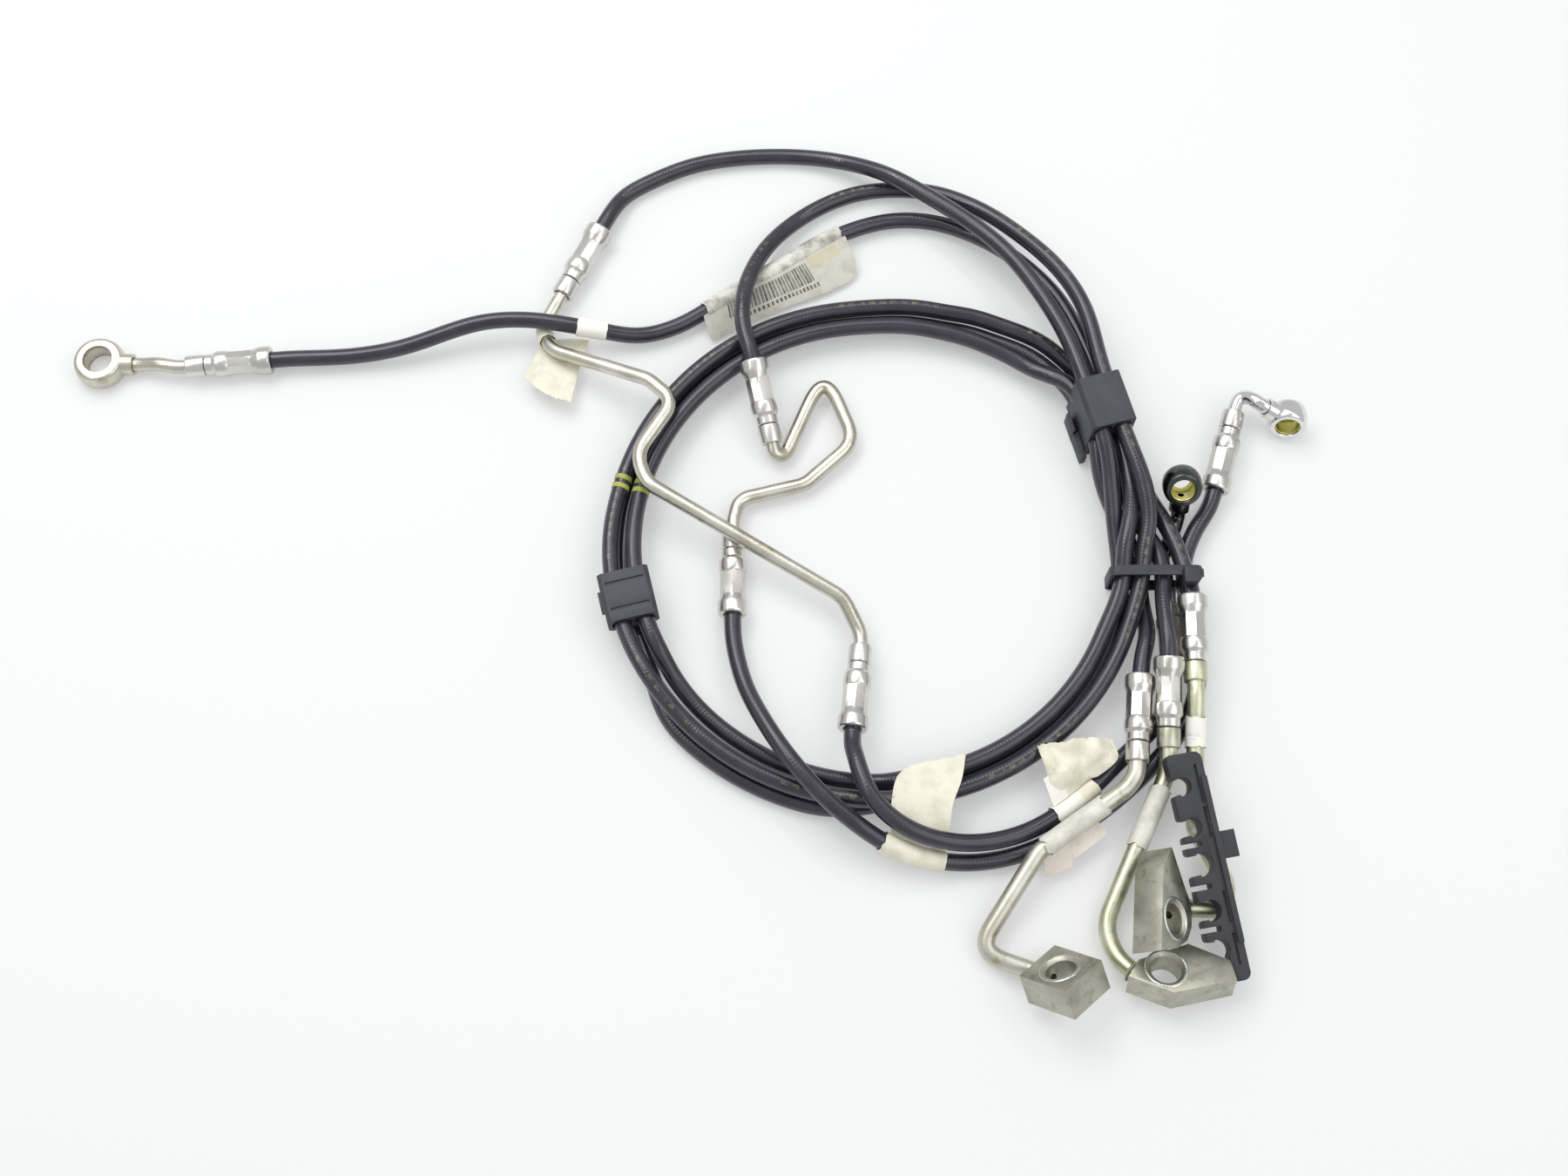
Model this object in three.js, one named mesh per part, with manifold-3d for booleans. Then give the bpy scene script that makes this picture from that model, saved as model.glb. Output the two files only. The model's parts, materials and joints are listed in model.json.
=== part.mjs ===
// Brake line set: three hydraulic lines of flexible hose and hard tube, coiled and laid on a floor.
// Millimetres, +Z up. Routes are laid out from the middle of the floor that the set covers, with +X to
// the right and +Y away from the viewer, and the whole layout is then moved so that the rigid pieces'
// bounding box stands centred on the origin.
import * as THREE from 'three';
import * as BufferGeometryUtils from 'three/addons/utils/BufferGeometryUtils.js';
import Module from 'manifold-3d';

// ---------------------------------------------------------------- driving dimensions
const HOSE_RADIUS = 3.5;
const HOSE_SIDES = 8;
const HOSE_STEP = 15;
const LINE_RADIUS = 3.0;
const PORT_TUBE_RADIUS = 3.5;
const TUBE_SIDES = 8;
const FACE_GAP = 0.3;
const SOCKET_CLEARANCE = 0.4;
const SOCKET_SIDES = 12;
const LANE_PITCH = 2 * HOSE_RADIUS + 0.6;

const FERRULE_LENGTH = 28;
const FERRULE_RADIUS = 6.1;
const FERRULE_WAIST_RADIUS = 5.2;
const FERRULE_RING_RADIUS = 5.6;
const FERRULE_NECK_RADIUS = 4.6;
const FERRULE_BORE_RADIUS = HOSE_RADIUS + 0.45;
const FERRULE_BORE_DEPTH = 20;
const FERRULE_SIDES = 16;
const COLLAR_LENGTH = 8;
const COLLAR_RADIUS = 4.7;
const COLLAR_WEB = 3;
const COLLAR_SIDES = 12;
const FITTING_LENGTH = FERRULE_LENGTH + FACE_GAP + COLLAR_LENGTH;
const TUBE_BITE = COLLAR_LENGTH - COLLAR_WEB - FACE_GAP;

const COIL_CENTRE = new THREE.Vector2(37.5, 16.2);
const COIL_STEPS = 40;

const COLOURS = {
  hose: { color: 0x26262b, roughness: 0.42, metalness: 0.0 },
  ferrule: { color: 0xb9b6ae, roughness: 0.34, metalness: 0.9 },
  line: { color: 0xb8b3a4, roughness: 0.36, metalness: 0.9 },
  passivated: { color: 0xb4ad82, roughness: 0.4, metalness: 0.85 },
  chrome: { color: 0xc4c4c2, roughness: 0.16, metalness: 1.0 },
  blackChrome: { color: 0x2a2c2c, roughness: 0.28, metalness: 0.8 },
  block: { color: 0x9a9b8e, roughness: 0.5, metalness: 0.85 },
  plastic: { color: 0x2b2d31, roughness: 0.62, metalness: 0.0 },
  paper: { color: 0xdcd8c8, roughness: 0.85, metalness: 0.0 },
};

// ---------------------------------------------------------------- solids and placing
const wasm = await Module();
wasm.setup();

function solidOf(geometry) {
  const bare = geometry.index ? geometry.toNonIndexed() : geometry.clone();
  bare.deleteAttribute('normal');
  bare.deleteAttribute('uv');
  const merged = BufferGeometryUtils.mergeVertices(bare, 1e-4);
  return new wasm.Manifold(new wasm.Mesh({
    numProp: 3,
    vertProperties: new Float32Array(merged.attributes.position.array),
    triVerts: new Uint32Array(merged.index.array),
  }));
}

function geometryOf(solid) {
  const mesh = solid.getMesh();
  const geometry = new THREE.BufferGeometry();
  geometry.setAttribute('position', new THREE.Float32BufferAttribute(mesh.vertProperties, 3));
  geometry.setIndex(Array.from(mesh.triVerts));
  geometry.computeVertexNormals();
  return geometry;
}

function cut(body, ...tools) {
  let solid = solidOf(body);
  for (const tool of tools) {
    solid = solid.subtract(solidOf(tool));
  }
  return geometryOf(solid);
}

function join(body, ...others) {
  let solid = solidOf(body);
  for (const other of others) {
    solid = solid.add(solidOf(other));
  }
  return geometryOf(solid);
}

function vector(point) {
  return new THREE.Vector3(point[0], point[1], point[2]);
}

const layout = new THREE.Group();
const fittings = [];

function add(name, geometry, look, isHose = false) {
  const material = new THREE.MeshStandardMaterial(COLOURS[look]);
  const mesh = new THREE.Mesh(geometry, material);
  mesh.name = name;
  layout.add(mesh);
  if (!isHose) {
    fittings.push(mesh);
  }
  return mesh;
}

// Turns a geometry whose own Z is its axis so that the axis runs along `axis` and its X near `along`.
function stand(geometry, origin, axis, along) {
  const up = axis.clone().normalize();
  const side = along.clone().addScaledVector(up, -along.dot(up)).normalize();
  const third = new THREE.Vector3().crossVectors(up, side);
  const matrix = new THREE.Matrix4().makeBasis(side, third, up);
  matrix.setPosition(origin);
  return geometry.applyMatrix4(matrix);
}

// ---------------------------------------------------------------- paths
// A path that puts one section on each of its points, so tight bends can have short steps and
// straight runs long ones.
class PointPath extends THREE.Curve {
  constructor(points) {
    super();
    this.points = points;
  }

  getPoint(t, target = new THREE.Vector3()) {
    const place = Math.min(Math.max(t, 0), 1) * (this.points.length - 1);
    const index = Math.min(Math.floor(place), this.points.length - 2);
    return target.copy(this.points[index]).lerp(this.points[index + 1], place - index);
  }

  getUtoTmapping(u) {
    return u;
  }
}

function sweep(points, radius, sides) {
  const section = new THREE.Shape();
  for (let side = 0; side < sides; side += 1) {
    const angle = (2 * Math.PI * side) / sides;
    const x = radius * Math.cos(angle);
    const y = radius * Math.sin(angle);
    if (side === 0) {
      section.moveTo(x, y);
    } else {
      section.lineTo(x, y);
    }
  }
  section.closePath();
  return new THREE.ExtrudeGeometry(section, {
    steps: points.length - 1,
    extrudePath: new PointPath(points),
  });
}

// A hard tube: straight runs joined by bends of one radius, each bend in a few short steps.
function bentPoints(corners, bendRadius, stepsPerBend = 4) {
  const points = [corners[0].clone()];
  for (let i = 1; i < corners.length - 1; i += 1) {
    const back = corners[i - 1].clone().sub(corners[i]);
    const ahead = corners[i + 1].clone().sub(corners[i]);
    const room = 0.48 * Math.min(back.length(), ahead.length());
    back.normalize();
    ahead.normalize();
    const turn = Math.PI - back.angleTo(ahead);
    const setback = Math.min(bendRadius * Math.tan(turn / 2), room);
    const from = corners[i].clone().addScaledVector(back, setback);
    const to = corners[i].clone().addScaledVector(ahead, setback);
    const bend = new THREE.QuadraticBezierCurve3(from, corners[i], to);
    const steps = Math.max(1, Math.round((stepsPerBend * turn) / (Math.PI / 2)));
    for (let step = 0; step <= steps; step += 1) {
      points.push(bend.getPoint(step / steps));
    }
  }
  points.push(corners[corners.length - 1].clone());
  return points;
}

// A hose: a smooth curve through the route, sampled every couple of diameters, with straight ends.
function hosePoints(route, straightStart, straightEnd) {
  const inner = new THREE.CatmullRomCurve3(route, false, 'centripetal');
  const steps = Math.max(2, Math.round(inner.getLength() / HOSE_STEP));
  const points = inner.getSpacedPoints(steps);
  return [...straightStart, ...points, ...straightEnd];
}

// ---------------------------------------------------------------- crimped fittings
// A fitting is placed by the mouth that the hose enters and by the way the collar lies from it.
class Fitting {
  constructor(name, mouth, collarEnd) {
    this.name = name;
    this.mouth = vector(mouth);
    this.axis = vector(collarEnd).sub(this.mouth).normalize();
  }

  along(distance) {
    return this.mouth.clone().addScaledVector(this.axis, distance);
  }

  get hoseSeat() {
    return this.along(FERRULE_BORE_DEPTH - FACE_GAP);
  }

  get hoseLead() {
    return this.along(-2 * HOSE_RADIUS);
  }

  get tubeSeat() {
    return this.along(FITTING_LENGTH - TUBE_BITE);
  }

  get tubeLead() {
    return this.along(FITTING_LENGTH + 5);
  }
}

// The crimp dies leave eight flats round the waist of the ferrule.
function crimpWaist(geometry) {
  const position = geometry.attributes.position;
  const flat = Math.cos(Math.PI / 8);
  for (let i = 0; i < position.count; i += 1) {
    const x = position.getX(i);
    const y = position.getY(i);
    const radius = Math.hypot(x, y);
    const inWaist = Math.abs(radius - FERRULE_WAIST_RADIUS) < 0.01;
    const step = Math.round((Math.atan2(y, x) * FERRULE_SIDES) / (2 * Math.PI));
    if (inWaist && Math.abs(step) % 2 === 1) {
      position.setX(i, x * flat);
      position.setY(i, y * flat);
    }
  }
  return geometry;
}

function ferruleGeometry() {
  const bore = FERRULE_BORE_RADIUS;
  const outline = [
    [0, FERRULE_BORE_DEPTH], [bore, FERRULE_BORE_DEPTH], [bore, 0],
    [FERRULE_RADIUS - 0.5, 0], [FERRULE_RADIUS, 0.9], [FERRULE_RADIUS, 5.4],
    [FERRULE_WAIST_RADIUS, 7.6], [FERRULE_WAIST_RADIUS, 18.4],
    [FERRULE_RING_RADIUS, 19.8], [FERRULE_RING_RADIUS, 23.2],
    [FERRULE_NECK_RADIUS, 24.6], [FERRULE_NECK_RADIUS, FERRULE_LENGTH], [0, FERRULE_LENGTH],
  ];
  const profile = outline.map(([r, z]) => new THREE.Vector2(r, z));
  const lathe = new THREE.LatheGeometry(profile, FERRULE_SIDES);
  lathe.rotateX(Math.PI / 2);
  return crimpWaist(lathe);
}

function collarGeometry(tubeRadius) {
  const bore = tubeRadius + SOCKET_CLEARANCE;
  const outline = [
    [0, 0], [COLLAR_RADIUS - 0.4, 0], [COLLAR_RADIUS, 0.5], [COLLAR_RADIUS, COLLAR_LENGTH - 0.5],
    [COLLAR_RADIUS - 0.3, COLLAR_LENGTH], [bore, COLLAR_LENGTH], [bore, COLLAR_WEB], [0, COLLAR_WEB],
  ];
  const profile = outline.map(([r, z]) => new THREE.Vector2(r, z));
  const lathe = new THREE.LatheGeometry(profile, COLLAR_SIDES);
  lathe.rotateX(Math.PI / 2);
  return lathe;
}

function addFitting(fitting, tubeRadius, collarLook) {
  const across = new THREE.Vector3(0, 0, 1);
  const ferrule = stand(ferruleGeometry(), fitting.mouth, fitting.axis, across);
  add(`${fitting.name}_ferrule`, ferrule, 'ferrule');
  const collarFoot = fitting.along(FERRULE_LENGTH + FACE_GAP);
  const collar = stand(collarGeometry(tubeRadius), collarFoot, fitting.axis, across);
  add(`${fitting.name}_collar`, collar, collarLook);
}

// ---------------------------------------------------------------- banjo eyes
const BALL_EYE = { hole: 5.05, flat: 6.5, radius: 8.15, height: 10, boss: 3.9, bossReach: 3.4 };
const RING_EYE = { hole: 6.1, flat: 8.6, radius: 10.9, height: 9.4, boss: 4.2, bossReach: 3.6 };
const EYE_SIDES = 20;
const PORT_RADIUS = 1.5;
const SOCKET_DEPTH = 3.2;

function rodAlongX(radius, from, to, sides) {
  const rod = new THREE.CylinderGeometry(radius, radius, to - from, sides);
  rod.rotateZ(Math.PI / 2);
  rod.translate((from + to) / 2, 0, 0);
  return rod;
}

function eyeGeometry(eye, tubeRadius) {
  const half = eye.height / 2;
  const profile = [new THREE.Vector2(eye.hole, -half), new THREE.Vector2(eye.flat, -half)];
  const bulge = new THREE.QuadraticBezierCurve(
    new THREE.Vector2(eye.flat, -half),
    new THREE.Vector2(eye.radius, -half * 0.85),
    new THREE.Vector2(eye.radius, 0),
  ).getPoints(3);
  profile.push(...bulge.slice(1));
  const mirrored = bulge.slice(0, -1).reverse();
  profile.push(...mirrored.map((point) => new THREE.Vector2(point.x, -point.y)));
  profile.push(new THREE.Vector2(eye.hole, half), new THREE.Vector2(eye.hole, -half));
  const ring = new THREE.LatheGeometry(profile, EYE_SIDES);
  ring.rotateX(Math.PI / 2);
  const wall = (eye.hole + eye.radius) / 2;
  const end = eye.radius + eye.bossReach;
  const boss = rodAlongX(eye.boss + 0.4, wall, end, TUBE_SIDES);
  const bore = tubeRadius + SOCKET_CLEARANCE;
  const socket = rodAlongX(bore, end - SOCKET_DEPTH, end + 1, SOCKET_SIDES);
  const port = rodAlongX(PORT_RADIUS, eye.hole - 2, end, 8);
  return cut(join(ring, boss), socket, port);
}

function addEye(name, eye, centre, axis, towardTube, look) {
  const geometry = eyeGeometry(eye, LINE_RADIUS);
  add(name, stand(geometry, vector(centre), vector(axis), vector(towardTube)), look);
}

// Where a tube's end seats in an eye's socket, and a point further out on the socket's own line.
function eyeSocket(eye, centre, axis, towardTube, outward) {
  const up = vector(axis).normalize();
  const side = vector(towardTube);
  side.addScaledVector(up, -side.dot(up)).normalize();
  const seat = eye.radius + eye.bossReach - SOCKET_DEPTH + FACE_GAP;
  return vector(centre).addScaledVector(side, seat + outward);
}

// ---------------------------------------------------------------- port blocks
const BLOCK_HOLE_RADIUS = 5.9;
const BLOCK_CHAMFER = 1;
const SQUARE_BLOCK = { outline: [[-12, -10.3], [12, -10.3], [12, 10.3], [-12, 10.3]], depth: 12.7 };
const LONG_BLOCK = {
  outline: [[-20.7, -3.3], [-4.8, -10.5], [19.5, -4.8], [18.4, 3.6], [3.7, 11], [-16.1, 4]],
  depth: 11,
};
const SHORT_BLOCK = {
  outline: [
    [-18.8, 15.3], [-16.5, 3.5], [-12.8, -3.9], [-7.8, -7.4], [-2.4, -8.6], [3.2, -7.5],
    [7.4, -4.9], [21.8, 2.5], [13, 9.8],
  ],
  depth: 12.5,
};

// A port block: an extruded outline with a chamfered through hole, a tube socket in one side and a
// drilled port that joins them. `socket` is the mouth's place in the outline and the way it faces.
function blockGeometry(block, hole, socket) {
  const shape = new THREE.Shape(block.outline.map(([x, y]) => new THREE.Vector2(x, y)));
  const body = new THREE.ExtrudeGeometry(shape, { depth: block.depth, bevelEnabled: false });
  body.translate(0, 0, -block.depth / 2);
  const half = block.depth / 2;
  const rim = BLOCK_HOLE_RADIUS + BLOCK_CHAMFER;
  const bore = new THREE.LatheGeometry([
    new THREE.Vector2(0, -half - 1),
    new THREE.Vector2(rim + 1, -half - 1),
    new THREE.Vector2(BLOCK_HOLE_RADIUS, -half + BLOCK_CHAMFER),
    new THREE.Vector2(BLOCK_HOLE_RADIUS, half - BLOCK_CHAMFER),
    new THREE.Vector2(rim + 1, half + 1),
    new THREE.Vector2(0, half + 1),
  ], EYE_SIDES);
  bore.rotateX(Math.PI / 2);
  bore.translate(hole[0], hole[1], 0);
  const turn = Math.atan2(socket.facing[1], socket.facing[0]);
  const pocket = rodAlongX(PORT_TUBE_RADIUS + SOCKET_CLEARANCE, -SOCKET_DEPTH, 1, SOCKET_SIDES);
  pocket.rotateZ(turn);
  pocket.translate(socket.mouth[0], socket.mouth[1], 0);
  const reach = Math.hypot(socket.mouth[0] - hole[0], socket.mouth[1] - hole[1]);
  const port = rodAlongX(PORT_RADIUS, -reach + BLOCK_HOLE_RADIUS / 2, 0, 8);
  port.rotateZ(Math.atan2(socket.mouth[1] - hole[1], socket.mouth[0] - hole[0]));
  port.translate(socket.mouth[0], socket.mouth[1], 0);
  return cut(body, bore, pocket, port);
}

class Block {
  constructor(name, kind, centre, normal, along, hole, socket) {
    this.name = name;
    this.kind = kind;
    this.centre = vector(centre);
    this.up = vector(normal).normalize();
    this.side = vector(along);
    this.side.addScaledVector(this.up, -this.side.dot(this.up)).normalize();
    this.third = new THREE.Vector3().crossVectors(this.up, this.side);
    this.hole = hole;
    this.socket = socket;
  }

  addTo() {
    const geometry = blockGeometry(this.kind, this.hole, this.socket);
    add(this.name, stand(geometry, this.centre, this.up, this.side), 'block');
  }

  // A point on the socket's line, `outward` from the mouth.
  socketPoint(outward) {
    const x = this.socket.mouth[0] + outward * this.socket.facing[0];
    const y = this.socket.mouth[1] + outward * this.socket.facing[1];
    return this.centre.clone().addScaledVector(this.side, x).addScaledVector(this.third, y);
  }
}

const BLOCK_SEAT = -SOCKET_DEPTH + FACE_GAP;

// ---------------------------------------------------------------- where the fittings lie
const fittingOf = {
  hose_a_inlet: new Fitting('hose_a_inlet', [-220, 102, 6.2], [-256, 98.6, 6.4]),
  hose_b_inlet: new Fitting('hose_b_inlet', [-81, 166, 6.2], [-97, 133, 6.2]),
  hose_c_inlet: new Fitting('hose_c_inlet', [-13, 96, 17.6], [-5, 62, 8]),
  hose_d_inlet: new Fitting('hose_d_inlet', [27, -64, 12], [31, -28, 8]),
  hose_e_inlet: new Fitting('hose_e_inlet', [-21, -14, 6.2], [-21, 22, 6.2]),
  hose_a_outlet: new Fitting('hose_a_outlet', [142.4, -42, 12], [138.4, -78, 14.4]),
  hose_b_outlet: new Fitting('hose_b_outlet', [153, -36, 18.8], [151.5, -72, 12.6]),
  hose_c_outlet: new Fitting('hose_c_outlet', [165, -9, 15.2], [163.8, -45, 15]),
  hose_d_outlet: new Fitting('hose_d_outlet', [157, -39.4, 6.2], [157, -3, 6.2]),
  hose_e_outlet: new Fitting('hose_e_outlet', [180.2, 41, 6.2], [190.2, 75, 9]),
};

const LEFT_EYE = { centre: [-294, 101, 4.7], axis: [0, 0, 1], toward: [1, -0.03, 0] };
const RIGHT_EYE = { centre: [213, 73, 8.6], axis: [-0.15, -0.95, 0.27], toward: [-0.85, 0.24, 0.42] };
const DARK_EYE = { centre: [164.5, 39.5, 15.6], axis: [-0.05, -0.8, 0.6], toward: [0, -0.6, -0.8] };

const squareBlock = new Block(
  'block_a', SQUARE_BLOCK, [105.3, -163, 16.1], [-0.325, 0.711, 0.624], [0.61, -0.347, 0.712],
  [0, 0], { mouth: [-12, 0], facing: [-1, 0] },
);
const longBlock = new Block(
  'block_b', LONG_BLOCK, [150.2, -160.3, 10.3], [0, 0.42, 0.9075], [1, 0, 0],
  [-6.2, 0.1], { mouth: [-17.8, 2.4], facing: [-0.66, 0.751] },
);
const shortBlock = new Block(
  'block_c', SHORT_BLOCK, [145.2, -134.8, 15.2], [0.734, 0, 0.679], [0, 1, 0],
  [-5.6, 3.3], { mouth: [0.4, -8], facing: [0.193, -0.981] },
);

function addFittings() {
  for (const [name, fitting] of Object.entries(fittingOf)) {
    const isPort = ['hose_a_outlet', 'hose_b_outlet', 'hose_c_outlet'].includes(name);
    const collarLook = isPort ? 'passivated' : 'ferrule';
    addFitting(fitting, isPort ? PORT_TUBE_RADIUS : LINE_RADIUS, collarLook);
  }
}

function addEyes() {
  addEye('left_banjo_eye', RING_EYE, LEFT_EYE.centre, LEFT_EYE.axis, LEFT_EYE.toward, 'line');
  addEye('right_banjo_eye', BALL_EYE, RIGHT_EYE.centre, RIGHT_EYE.axis, RIGHT_EYE.toward, 'chrome');
  addEye('dark_banjo_eye', BALL_EYE, DARK_EYE.centre, DARK_EYE.axis, DARK_EYE.toward, 'blackChrome');
}

// ---------------------------------------------------------------- hard tubes
// The points of every tube and hose, by name, so that the paper wraps can find their places.
const runs = {};

function tubeBetween(name, start, corners, end, radius, bendRadius, look) {
  const points = bentPoints([...start, ...corners.map(vector), ...end], bendRadius);
  add(name, sweep(points, radius, TUBE_SIDES), look);
  runs[name] = points;
}

function fittingTubeStart(fitting) {
  return [fitting.tubeSeat, fitting.tubeLead];
}

function fittingTubeEnd(fitting) {
  return [fitting.tubeLead, fitting.tubeSeat];
}

function eyeTubeEnd(kind, eye) {
  return [
    eyeSocket(kind, eye.centre, eye.axis, eye.toward, SOCKET_DEPTH + 4),
    eyeSocket(kind, eye.centre, eye.axis, eye.toward, 0),
  ];
}

function addTubes() {
  const f = fittingOf;
  tubeBetween('mid_line_long', fittingTubeStart(f.hose_b_inlet), [
    [-105, 118, 4.2], [-100, 106, 8], [-57, 87, 17.8], [-46, 77, 18.2], [-61, 53, 18],
    [-57, 40, 18], [24, -8, 11],
  ], fittingTubeEnd(f.hose_d_inlet), LINE_RADIUS, 14, 'line');
  tubeBetween('mid_line_short', fittingTubeStart(f.hose_c_inlet), [
    [0.7, 58.4, 4.2], [17.2, 96.7, 7], [30, 64, 5.6], [8.8, 44.5, 5], [-18.9, 37.7, 5],
  ], fittingTubeEnd(f.hose_e_inlet), LINE_RADIUS, 12, 'line');
  tubeBetween('left_banjo_tube', fittingTubeStart(f.hose_a_inlet), [
    [-268, 100, 7.4],
  ], eyeTubeEnd(RING_EYE, LEFT_EYE), LINE_RADIUS, 12, 'line');
  tubeBetween('right_banjo_tube', fittingTubeStart(f.hose_e_outlet), [
    [193.6, 82.4, 9.6], [197, 82, 12],
  ], eyeTubeEnd(BALL_EYE, RIGHT_EYE), LINE_RADIUS, 7, 'chrome');
  tubeBetween('dark_banjo_tube', fittingTubeStart(f.hose_d_outlet), [
    [155.6, 10, 4.2], [163, 26, 3.6],
  ], eyeTubeEnd(BALL_EYE, DARK_EYE), LINE_RADIUS, 9, 'blackChrome');
  tubeBetween('block_a_tube', fittingTubeStart(f.hose_a_outlet), [
    [134, -88, 13], [98.8, -112.6, 12.2], [73.8, -149.9, 4.6],
  ], [squareBlock.socketPoint(4.2), squareBlock.socketPoint(BLOCK_SEAT)], PORT_TUBE_RADIUS, 12,
  'line');
  tubeBetween('block_b_tube', fittingTubeStart(f.hose_b_outlet), [
    [150.2, -82.8, 9], [123.5, -139.6, 5],
  ], [longBlock.socketPoint(9), longBlock.socketPoint(BLOCK_SEAT)], PORT_TUBE_RADIUS, 24,
  'passivated');
  tubeBetween('block_c_tube', fittingTubeStart(f.hose_c_outlet), [
    [163, -67, 10], [160.7, -102, 6], [172, -124, 4.2], [170.3, -133.9, 4],
  ], [shortBlock.socketPoint(5), shortBlock.socketPoint(BLOCK_SEAT)], PORT_TUBE_RADIUS, 9,
  'passivated');
}

// ---------------------------------------------------------------- the place where the hoses are clipped
// Six hoses pass the bundle clip in two columns of three: the outer column is number 0 and the lowest
// row is number 0. A place is given by column, row and the distance along the bundle.
const CLIP_CENTRE = new THREE.Vector3(137.2, 74.5, 0);
const CLIP_ALONG = new THREE.Vector3(0.26, -0.966, 0).normalize();
const CLIP_INWARD = new THREE.Vector3(-CLIP_ALONG.y, CLIP_ALONG.x, 0).negate();
const CLIP_BORE_RADIUS = HOSE_RADIUS + 0.35;
const CLIP_WEB = 0.7;
const CLIP_PITCH = 2 * CLIP_BORE_RADIUS + CLIP_WEB;
const CLIP_FLOOR_ROW = CLIP_BORE_RADIUS + 1.55;
const CLIP_STRAIGHT = 14;

function clipPlace(column, row, along) {
  const point = CLIP_CENTRE.clone().addScaledVector(CLIP_INWARD, column * CLIP_PITCH);
  point.addScaledVector(CLIP_ALONG, along);
  point.z = CLIP_FLOOR_ROW + row * CLIP_PITCH;
  return point;
}

const LANES = {
  a: { into: [0, 1], outOf: [1, 1] },
  b: { into: [1, 2], outOf: [1, 0] },
  c: { into: [0, 2], outOf: [0, 0] },
};

// ---------------------------------------------------------------- the coil
// Each hose goes round once, clockwise. Two lanes lie side by side on the third, which is on the
// floor between them and comes out at the bottom left. Keys: angle, radius of each lane, height of
// the floor lane, and how far the clip on the left lifts the upper two.
const COIL_KEYS = [
  { angle: -22, a: 99.7, b: 104, c: 108.3, floor: 3.6, lift: 0 },
  { angle: -75, a: 99.7, b: 104, c: 108.3, floor: 3.6, lift: 0 },
  { angle: -105, a: 99.7, b: 112.4, c: 108.3, floor: 3.6, lift: 0 },
  { angle: -135, a: 99.7, b: 112.4, c: 108.3, floor: 3.6, lift: 0 },
  { angle: -156, a: 99.4, b: 104, c: 108.8, floor: 3.6, lift: 3.5 },
  { angle: -176, a: 99.4, b: 104, c: 108.8, floor: 3.6, lift: 3.5 },
  { angle: -196, a: 99.7, b: 104, c: 108.3, floor: 3.6, lift: 0 },
  { angle: -265, a: 100, b: 104.4, c: 108.8, floor: 3.6, lift: 0 },
  { angle: -285, a: 102, b: 106.8, c: 111.6, floor: 3.6, lift: 0 },
  { angle: -296, a: 103.6, b: 109.2, c: 114.8, floor: 3.7, lift: 0 },
  { angle: -310, a: 105.4, b: 112.2, c: 119.2, floor: 4.4, lift: 0 },
];

function coilLane(angle) {
  let index = 1;
  while (index < COIL_KEYS.length - 1 && COIL_KEYS[index].angle > angle) {
    index += 1;
  }
  const from = COIL_KEYS[index - 1];
  const to = COIL_KEYS[index];
  const share = THREE.MathUtils.smoothstep(from.angle - angle, 0, from.angle - to.angle);
  const blend = (key) => THREE.MathUtils.lerp(from[key], to[key], share);
  return { a: blend('a'), b: blend('b'), c: blend('c'), floor: blend('floor'), lift: blend('lift') };
}

// A lane beside the floor lane rests in its groove: the further off, the lower it lies.
function restingHeight(lane, radius) {
  const across = radius - lane.b;
  return lane.floor + Math.sqrt(Math.max(0, LANE_PITCH ** 2 - across ** 2)) + lane.lift;
}

function coilPoint(name, angle) {
  const lane = coilLane(angle);
  const radius = lane[name];
  const height = name === 'b' ? lane.floor : restingHeight(lane, radius);
  const turn = THREE.MathUtils.degToRad(angle);
  return new THREE.Vector3(
    COIL_CENTRE.x + radius * Math.cos(turn),
    COIL_CENTRE.y + radius * Math.sin(turn),
    height,
  );
}

function coilPoints(name) {
  const first = COIL_KEYS[0].angle;
  const last = COIL_KEYS[COIL_KEYS.length - 1].angle;
  const points = [];
  for (let step = 0; step <= COIL_STEPS; step += 1) {
    points.push(coilPoint(name, THREE.MathUtils.lerp(first, last, step / COIL_STEPS)));
  }
  return points;
}

// ---------------------------------------------------------------- hoses
const LEADS = {
  a: [[-187, 104, 5.6], [-165, 107, 7.5], [-130, 117, 12.2], [-108, 118, 12.4], [-84, 115, 10.5],
    [-62, 114, 5.2], [-44, 120, 4.7], [-32, 128, 4.7], [-6, 145, 4.7],
    [20, 162, 4.7], [33, 168, 4.5], [48, 172, 4.2],
    [66, 171, 4.4], [82, 164, 6.5], [99, 151, 10], [117.5, 130, 11.8], [127, 109, 12.6]],
  b: [[-72, 184, 3.8], [-60, 192, 3.6], [-40, 201, 3.6], [-16, 205, 3.6], [8, 205, 3.8],
    [28, 200, 7], [46, 190, 13], [64, 177, 15.5], [82, 163, 16.6],
    [97, 147, 18.4], [109, 128, 19.6], [119.4, 106, 21.2]],
  c: [[-17, 108, 18.4], [-18, 121, 18], [-16, 135, 15], [-9, 153, 10], [2, 168, 5.4],
    [16, 179, 3.8], [32, 186, 3.7], [50, 188, 4], [68, 185, 5.6], [86, 175, 9], [102, 160, 13.5],
    [117.6, 140, 19], [127.4, 120, 21.4]],
};

const SHARED_RUNS = {
  a: [[141.6, 56, 13.4], [143.6, 42, 13.4], [141.8, 23, 16.6], [138.8, 12, 15.6], [138.4, 1, 12.7],
    [135.4, -10, 11.3]],
  b: [[133.8, 55, 20.4], [135.6, 40, 14.6], [136.5, 23, 10.6], [137.8, 12, 8], [138.4, 1, 5.05],
    [137.8, -10, 4]],
  c: [[142.4, 56, 22], [147.9, 38, 20.8], [149.4, 22, 17.2], [146.6, 11, 15.4], [146, 1, 12.8],
    [143, -10, 12]],
};

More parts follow.
